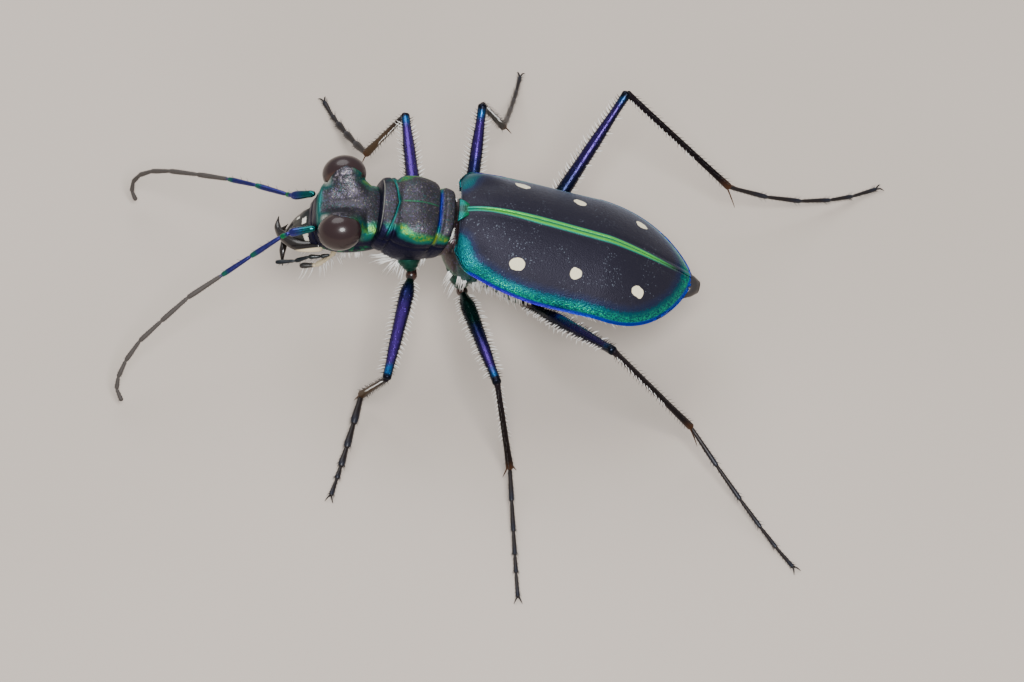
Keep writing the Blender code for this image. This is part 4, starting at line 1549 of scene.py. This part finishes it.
# painted shade, laid on the sides of each thigh
FEMUR_PAINTED_SHADE = (0.003, 0.006, 0.014)
KNEE_BLACK = (0.006, 0.007, 0.016)
# for each pair: where violet begins, where blue begins, and the least painted shade on the sides
FEMUR_BANDS = {"front": (0.18, 0.80, 0.0), "middle": (0.48, 0.82, 0.2), "hind": (0.40, 0.86, 0.6)}


def femur_recipe(violet, blue, least_shade):
    """violet and blue begin at these shares of the length, and the third number is the least painted shade
    on the sides.
    """
    def recipe(wire):
        place = undo(wire, FLOOR)
        drift = clouds(place, 2.5) - 0.5
        way = attribute(wire, "along") + drift * 0.14
        # painted shade: darker on the sides and lighter on the upper edge, as if lit from above
        shade = attribute(wire, "rise").step(0.95, 0.45) * (0.9 - least_shade) + least_shade
        colour = layered(
            FEMUR_ROOT,
            (way.step(violet - 0.1, violet), FEMUR_INDIGO),
            (way.step(violet, violet + 0.22), FEMUR_VIOLET),
            (way.step(blue, blue + 0.10), FEMUR_BLUE),
            (way.step(0.93, 0.98), KNEE_BLACK),
            (shade, FEMUR_PAINTED_SHADE))
        pits = relief(grains(place, 10.0).step(0.0, 0.3), 0.6, 0.02)
        shine = relief(grains(place, 24.0), 0.25, 0.01, pits)
        return {"Base Color": colour, "Normal": shine, "Roughness": 0.26 + drift * 0.12}
    return recipe


femur_looks = {
    pair: paint(f"femur_metal_{pair}", femur_recipe(*bands), Metallic=0.85)
    for pair, bands in FEMUR_BANDS.items()}

# %% Finish of the shins and feet
TIBIA_ROOT = (0.007, 0.004, 0.007)
TIBIA_END = (0.070, 0.028, 0.012)
TIBIA_BROWNS = {
    "front": (0.060, 0.036, 0.019), "middle": (0.006, 0.003, 0.003), "hind": (0.004, 0.002, 0.003)}
TARSUS_BROWN = (0.012, 0.008, 0.008)
TARSUS_BLUE = (0.010, 0.012, 0.022)


def tibia_recipe(brown):
    def recipe(wire):
        place = undo(wire, FLOOR)
        along = attribute(wire, "along")
        drift = clouds(place, 3.0) - 0.5
        colour = layered(
            TIBIA_ROOT,
            ((along + drift * 0.3).step(0.05, 0.5), brown),
            (along.step(0.84, 1.0) * 0.7, TIBIA_END))
        shine = relief(grains(place, 16.0), 0.35, 0.014)
        return {"Base Color": colour, "Normal": shine, "Roughness": 0.40 + drift * 0.12}
    return recipe


def tarsus_recipe(wire):
    place = undo(wire, FLOOR)
    along = attribute(wire, "along")
    within = wire.math("FRACT", along * 5)
    colour = mix(within.step(0.5, 1.0), TARSUS_BROWN, TARSUS_BLUE)
    shine = relief(grains(place, 20.0), 0.3, 0.01)
    return {"Base Color": colour, "Normal": shine}


tibia_looks = {
    pair: paint(f"tibia_horn_{pair}", tibia_recipe(brown), Specular_IOR_Level=0.10)
    for pair, brown in TIBIA_BROWNS.items()}
tarsus_look = paint("tarsus_horn", tarsus_recipe, Metallic=0.1, Roughness=0.38, Specular_IOR_Level=0.35)

# %% Finish of the hips
COXA_DARK = (0.003, 0.030, 0.022)
COXA_GREEN = (0.008, 0.075, 0.052)
TROCHANTER_DARK = (0.010, 0.006, 0.006)
TROCHANTER_RED = (0.040, 0.014, 0.008)


def coxa_recipe(wire):
    place = undo(wire, FLOOR)
    drift = clouds(place, 3.0) - 0.5
    colour = mix(drift.step(-0.2, 0.2), COXA_DARK, COXA_GREEN)
    return {"Base Color": colour, "Normal": relief(grains(place, 16.0), 0.35, 0.014)}


def trochanter_recipe(wire):
    place = undo(wire, FLOOR)
    drift = clouds(place, 5.0) - 0.5
    colour = mix(drift.step(-0.1, 0.2), TROCHANTER_DARK, TROCHANTER_RED)
    return {"Base Color": colour, "Normal": relief(clouds(place, 8.0), 0.15, 0.02)}


coxa_look = paint("coxa_metal", coxa_recipe, Metallic=0.75, Roughness=0.34)
trochanter_look = paint(
    "trochanter_gloss", trochanter_recipe, Roughness=0.25, Coat_Weight=0.2, Coat_Roughness=0.08)

# %% [markdown]
# The stems of a leg run from joint to joint, each a little into the next one. The coxa starts inside the
# trunk, and the trochanter of a hind leg lies along its thigh.

# %% Six legs
FEMUR = {
    "front": [(0, 0.13), (0.22, 0.265), (0.6, 0.225), (0.88, 0.165), (1, 0.165)],
    "middle": [(0, 0.13), (0.22, 0.28), (0.6, 0.23), (0.88, 0.165), (1, 0.17)],
    "hind": [(0, 0.12), (0.22, 0.17), (0.38, 0.265), (0.6, 0.23), (0.88, 0.16), (1, 0.175)],
}
TIBIA = {
    "front": [(0, 0.12), (0.12, 0.10), (0.6, 0.115), (1, 0.15)],
    "middle": [(0, 0.12), (0.12, 0.105), (0.7, 0.115), (1, 0.145)],
    "hind": [(0, 0.13), (0.12, 0.115), (0.7, 0.115), (1, 0.135)],
}
BEAN_LENGTHS = {"front": 0.26, "middle": 0.26, "hind": 1.05}
HIP_OVERLAP = 0.16
JOINT_OVERLAP = 0.04
to_floor = FLOOR.inverted() @ TRUNK
leg_stems = {}


def leg(name):
    """Makes the pieces of one leg and returns its stems."""
    hip, knee, ankle, tip, bow = LEGS[name]
    hip, knee, ankle, tip = Vector(hip), Vector(knee), Vector(ankle), Vector((*tip, 0.09))
    pair, word = name.split("_")
    x, y, z = COXA_ROOTS[pair]
    root = to_floor @ Vector((x, y if word == "right" else -y, z))
    thigh, shin = (knee - hip).normalized(), (ankle - knee).normalized()
    inner = hip - (hip - root).normalized() * HIP_OVERLAP
    bean = BEAN_LENGTHS[pair]
    stems = {
        "coxa": Stem([root, root.lerp(hip, 0.5), inner], [(0, 0.50), (0.45, 0.42), (0.85, 0.27), (1, 0.19)]),
        "trochanter": Stem(
            [hip - thigh * HIP_OVERLAP, hip + thigh * bean * 0.4, hip + thigh * bean],
            [(0, 0.15), (0.45, 0.21), (1, 0.13)]),
        "femur": Stem(
            [hip + thigh * 0.18, hip.lerp(knee, 0.5), knee - thigh * JOINT_OVERLAP], FEMUR[pair]),
        "tibia": Stem(
            [knee + shin * JOINT_OVERLAP, knee.lerp(ankle, 0.5), ankle - shin * JOINT_OVERLAP], TIBIA[pair]),
    }
    looks = {  # finish, slot, sides and rings
        "coxa": (coxa_look, "metal_shell", 24, 16),
        "trochanter": (trochanter_look, "dark_cuticle", 20, 16),
        "femur": (femur_looks[pair], "violet_limb", 24, 40),
        "tibia": (tibia_looks[pair], "dark_limb", 18, 40),
    }
    for part, stem in stems.items():
        look, slot, sides, rings = looks[part]
        bm = limb(stem, sides, rings)
        if part == "tibia":
            spurs(bm, stem, pair)
        piece(f"{name}_{part}_shell", bm, FLOOR, look, f"{name}_{part}")
    bm, stems["tarsus"] = foot(pair, ankle, tip, bow)
    piece(f"{name}_tarsus_segments", bm, FLOOR, tarsus_look, f"{name}_tarsus")
    return stems


for name in LEGS:
    leg_stems[name] = leg(name)
print("six legs of", len(leg_stems["front_left"]), "parts")

# %% [markdown]
# ## Hair
#
# Stiff white hairs stand in rows along the legs and in tufts at the hips. A particle system could grow
# them, but a joined mesh of real spines travels to any program. One hair is drawn as a bent, tapering
# spine of 24 triangles, and arrays copy it to every root at once.
#
# Each hair's patch in the texture map lies where its root is on the skin below, laid flat. The map is a
# board of 100 fields, one for each host, with the way round the host across a field and the way along it
# up the field.

# %% One hair
SPINE_SHARES = (0.0, 0.35, 0.7, 1.0)
SPINE_TURNS = (0.0, 2.1, 4.2)


def spine():
    """A hair along z from 0 to 1, three-sided and of radius 1: its points and its triangles."""
    bm = drawn([[(math.cos(turn), math.sin(turn), share) for turn in SPINE_TURNS] for share in SPINE_SHARES])
    bmesh.ops.triangulate(bm, faces=bm.faces)
    bmesh.ops.recalc_face_normals(bm, faces=bm.faces)
    bm.verts.index_update()
    points = np.array([vert.co[:] for vert in bm.verts])
    faces = np.array([[vert.index for vert in face.verts] for face in bm.faces])
    bm.free()
    return points, faces


SPINE_POINTS, SPINE_FACES = spine()
print("one hair:", len(SPINE_POINTS), "points and", len(SPINE_FACES), "triangles")

# %% [markdown]
# A coat keeps a list of hairs as rows of numbers. At the end, arrays turn, bend and thin the spine for all
# of them at once, and lift a hair that would dip into the floor.

# %% A coat of hairs
BOARD = 10
FIELD_START, FIELD_SIZE = 0.06, 0.88  # of a field, so that hosts keep apart
PATCH_SIZE = 0.003
THINNING = 0.85
FLOOR_CLEARANCE = 0.01
flat_fields = {}


class Coat:
    """Hairs that become one mesh. All places are millimetres in the floor's frame."""

    def __init__(self):
        self.hairs = []

    def plant(self, root, aim, length, radius, droop, host, around, along):
        field = flat_fields.setdefault(host, len(flat_fields))
        aim = aim.normalized()
        side = aim.orthogonal().normalized()
        row, column = divmod(field, BOARD)
        spot = [
            (place + FIELD_START + FIELD_SIZE * share) / BOARD
            for place, share in ((column, around), (row, along))]
        self.hairs.append((*root, *aim, *side, *aim.cross(side), *droop, length, radius, *spot))

    def finish(self, name, look, slot):
        table = np.array(self.hairs)[:, None, :]
        root, aim, side, other, droop = (table[..., start:start + 3] for start in (0, 3, 6, 9, 12))
        length, radius, spot = table[..., 15:16], table[..., 16:17], table[..., 17:19]
        across, up, share = (SPINE_POINTS[:, axis:axis + 1] for axis in range(3))
        thin = radius * (1 - THINNING * share ** 1.5)
        points = root + (aim * share + droop * share ** 2) * length + (side * across + other * up) * thin
        lowest = points[..., 2:].min(axis=1, keepdims=True)
        points[..., 2:] += np.maximum(FLOOR_CLEARANCE - lowest, 0)
        points = (points.reshape(-1, 3) + np.array(FLOOR_CENTRE)) * MM
        firsts = np.arange(len(table))[:, None, None] * len(SPINE_POINTS)
        faces = (SPINE_FACES + firsts).reshape(-1, 3)
        mesh = bpy.data.meshes.new(name)
        mesh.from_pydata(points, [], faces.tolist())
        patch = np.concatenate((across * 0.5, share - 0.5), axis=1) * PATCH_SIZE
        corners = (spot + patch).reshape(-1, 2)[faces.ravel()]
        mesh.uv_layers.new(name="OFBake").uv.foreach_set("vector", corners.ravel())
        publish(name, mesh, look)
        print(len(self.hairs), "hairs in", name)


print("a board of", BOARD * BOARD, "fields")

# %% [markdown]
# Hairs are planted in two ways: in rows along a stem, or in tufts on a shell round a point. Small random
# changes of root, aim and length keep the rows from looking like combs.

# %% Hairs in rows and in tufts
SINK = 0.92  # of the limb's radius, where a root is hidden
chance = random.Random(7)


def jitter(amount):
    return Vector([chance.uniform(-amount, amount) for _ in range(3)])


def row(coat, stem, host, turns, spacing, length, radius, lean=0.5, start=0.05, end=0.95, matrix=None):
    """Rows of hairs along a stem, which lean towards its end and bend a little more that way."""
    total = (stem.line[-1] - stem.line[0]).length
    count = max(2, round(total * (end - start) / spacing))
    for turn in turns:
        for step in range(count):
            share = start + (end - start) * (step + chance.uniform(0.35, 0.65)) / count
            around = turn + chance.uniform(-0.02, 0.02)
            root, out = stem.skin(share, around, size=SINK), stem.out(share, around)
            ahead = stem.at(share)[1]
            if matrix:
                root, out, ahead = matrix @ root, matrix.to_3x3() @ out, matrix.to_3x3() @ ahead
            aim = out + ahead * lean + jitter(0.09)
            size = length * chance.uniform(0.8, 1.1)
            coat.plant(root, aim, size, radius, ahead * 0.2 + jitter(0.05), host, around % 1, share)


def tuft(coat, host, matrix, middle, spread, count, aim, length, radius):
    """Hairs on a host's skin round its point nearest to the middle. Places are in the host's frame."""
    tree = hosts[host]
    for _ in range(count):
        seed = Vector(middle) + Vector([chance.uniform(-1.4, 1.4) * size for size in spread])
        root, normal, _, _ = tree.find_nearest(seed)
        way = matrix.to_3x3() @ (Vector(aim).normalized() + normal * 0.25 + jitter(0.14))
        around = math.atan2(root.y, root.z) / (2 * math.pi) + 0.5
        along = min(max((root.x + 3) / 13, 0), 1)
        bend = jitter(0.05)
        size = length * chance.uniform(0.7, 1.1)
        coat.plant(matrix @ (root - normal * 0.02), way, size, radius, bend, host, around, along)


# %% [markdown]
# White hairs are tubes full of air, so they are bright. The dark ones are solid horn.

# %% Finishes of the hairs
def hair_recipe(dark, pale):
    def recipe(wire):
        tone = clouds(undo(wire, FLOOR), 3.0).step(0.3, 0.7)
        return {"Base Color": mix(tone, dark, pale)}
    return recipe


white_hair = paint("white_hair", hair_recipe((0.84, 0.81, 0.75), (0.95, 0.95, 0.93)), Roughness=0.35)
dark_hair = paint("dark_hair", hair_recipe((0.010, 0.009, 0.010), (0.030, 0.022, 0.020)), Roughness=0.30)

# %% Hairs of the legs
for word in SIDE_NAMES.values():
    white, dark = Coat(), Coat()
    fore, rear = (0.03, 0.47) if word == "left" else (0.47, 0.03)
    for pair in ("front", "middle", "hind"):
        name = f"{pair}_{word}"
        stems = leg_stems[name]
        thigh, shin, hip = f"{name}_femur", f"{name}_tibia", f"{name}_coxa"
        row(white, stems["femur"], thigh, (fore,), 0.145, 0.30, 0.028, 0.35, 0.04, 0.90)
        rear_step = 0.6 if pair == "hind" else 0.16
        row(white, stems["femur"], thigh, (rear,), rear_step, 0.26, 0.028, 0.35, 0.04, 0.85)
        row(white, stems["femur"], thigh, (0.90, 0.60), 0.30, 0.22, 0.024, 0.40, 0.04, 0.70)
        row(dark, stems["femur"], thigh, (0.06, 0.44), 0.13, 0.16, 0.022, 0.25, 0.10, 0.95)
        row(dark, stems["femur"], thigh, (0.2, 0.32), 0.35, 0.16, 0.012, 0.9, 0.2)
        row(white, stems["tibia"], shin, (0.0, 0.5), 0.17, 0.17, 0.020, 0.6, 0.05, 0.65)
        row(dark, stems["tibia"], shin, (0.17, 0.33, 0.67, 0.83), 0.20, 0.17, 0.014, 0.8)
        row(white, stems["coxa"], hip, (0.0, 0.6, 0.8), 0.30, 0.34, 0.026, 0.9, 0.3)
        for index, stem in enumerate(stems["tarsus"]):
            host = f"{name}_foot_{index}"
            row(dark, stem, host, (0.03, 0.47, 0.60, 0.90), 0.14, 0.09, 0.009, 1.2, 0.1)
            row(dark, stem, host, (0.12, 0.38, 0.62, 0.88), 0.9, 0.16, 0.010, 0.9, 0.75, 0.98)
    white.finish(f"leg_hairs_{word}_white", white_hair, "white_hair")
    dark.finish(f"leg_hairs_{word}_dark", dark_hair, "dark_limb")

# %% Hairs of the body
LONG_HAIR = 0.5
to_head = FLOOR.inverted() @ HEAD
TUFTS = (  # host, its frame, middle, spread, count, aim, length
    ("prothorax", to_floor, (-2.10, 1.30, -2.15), (0.14, 0.1, 0.06), 7, (-0.9, 0.35, -0.5), 0.62),
    ("prothorax", to_floor, (-1.75, 1.30, -2.30), (0.16, 0.1, 0.08), 10, (-0.75, 0.45, -0.7), 0.70),
    ("prothorax", to_floor, (-1.45, 1.20, -2.45), (0.14, 0.1, 0.08), 13, (-0.3, 0.50, -1.0), 0.75),
    ("prothorax", to_floor, (-0.60, 1.10, -2.10), (0.12, 0.1, 0.10), 6, (0.2, 0.4, -0.9), 0.36),
    ("thorax", to_floor, (-0.05, 0.75, -0.45), (0.07, 0.1, 0.20), 30, (-0.1, 0.5, -0.8), 0.26),
    ("thorax", to_floor, (0.30, 1.50, -2.05), (0.10, 0.1, 0.12), 10, (-0.25, 0.35, -1.0), 0.62),
    ("thorax", to_floor, (0.85, 1.60, -1.80), (0.12, 0.1, 0.12), 12, (0.15, 0.40, -1.0), 0.55),
    ("thorax", to_floor, (2.00, 1.72, -1.50), (0.55, 0.1, 0.20), 60, (0.3, 0.6, -0.7), 0.40),
    ("thorax", to_floor, (2.90, 1.60, -2.00), (0.45, 0.1, 0.20), 40, (0.3, 0.4, -0.8), 0.36),
    ("abdomen", to_floor, (5.60, 1.90, -1.30), (1.20, 0.1, 0.30), 90, (0.7, 0.5, -0.5), 0.26),
    ("head", to_head, (-1.10, 1.05, -1.10), (0.30, 0.1, 0.12), 22, (-0.2, 0.4, -0.9), 0.32),
)
body = Coat()
for side, word in SIDE_NAMES.items():
    for host, matrix, (x, y, z), spread, count, (ahead, aside, up), length in TUFTS:
        middle, aim = (x, side * y, z), (ahead, side * aside, up)
        tuft(body, host, matrix, middle, spread, count, aim, length, 0.032 if length > LONG_HAIR else 0.026)
    for pair, turns in (("front", (0.0, 0.92)), ("middle", (0.0, 0.5))):
        host = f"{pair}_{word}_hip"
        row(body, leg_stems[f"{pair}_{word}"]["coxa"], host, turns, 0.12, 0.5, 0.030, 1.5, 0.3)
body.finish("body_hairs", white_hair, "white_hair")

# %% Hairs of the mouth and the feelers
face, feelers = Coat(), Coat()
for side, word in SIDE_NAMES.items():
    for index, stem in enumerate(palp_stems["labial", word]):
        host = f"labial_palp_{word}_{index}"
        row(face, stem, host, (0.6, 0.75, 0.9), 0.16, 0.50, 0.022, 0.35, matrix=to_head)
    for index, stem in enumerate(palp_stems["maxillary", word]):
        host = f"maxillary_palp_{word}_{index}"
        row(feelers, stem, host, (0.3, 0.7), 0.3, 0.18, 0.010, 0.9, matrix=to_head)
    for index, stem in enumerate(antenna_stems[word]):
        host = f"feeler_{word}_{index}"
        if index < 4:
            row(feelers, stem, host, (0.1, 0.4, 0.75), 0.35, 0.14, 0.009, 0.7, 0.2)
        else:
            row(feelers, stem, host, [turn / 9 for turn in range(9)], 0.10, 0.060, 0.007, 1.2)
face.finish("face_hairs", white_hair, "white_hair")
feelers.finish("feeler_hairs", dark_hair, "antenna")
print(len(flat_fields), "of", BOARD * BOARD, "fields used")

# %% [markdown]
#
# At the end the finished model must still fill the box of its solids, apart from a hair's length. Both
# boxes are printed, in millimetres.

# %% The sizes of the solids and of the looks
looks_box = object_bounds()
for word, (low, high) in (("solids", cad_box), ("looks", looks_box)):
    print(word, "in mm:", [round((end - start) / MM, 2) for start, end in zip(low, high)])
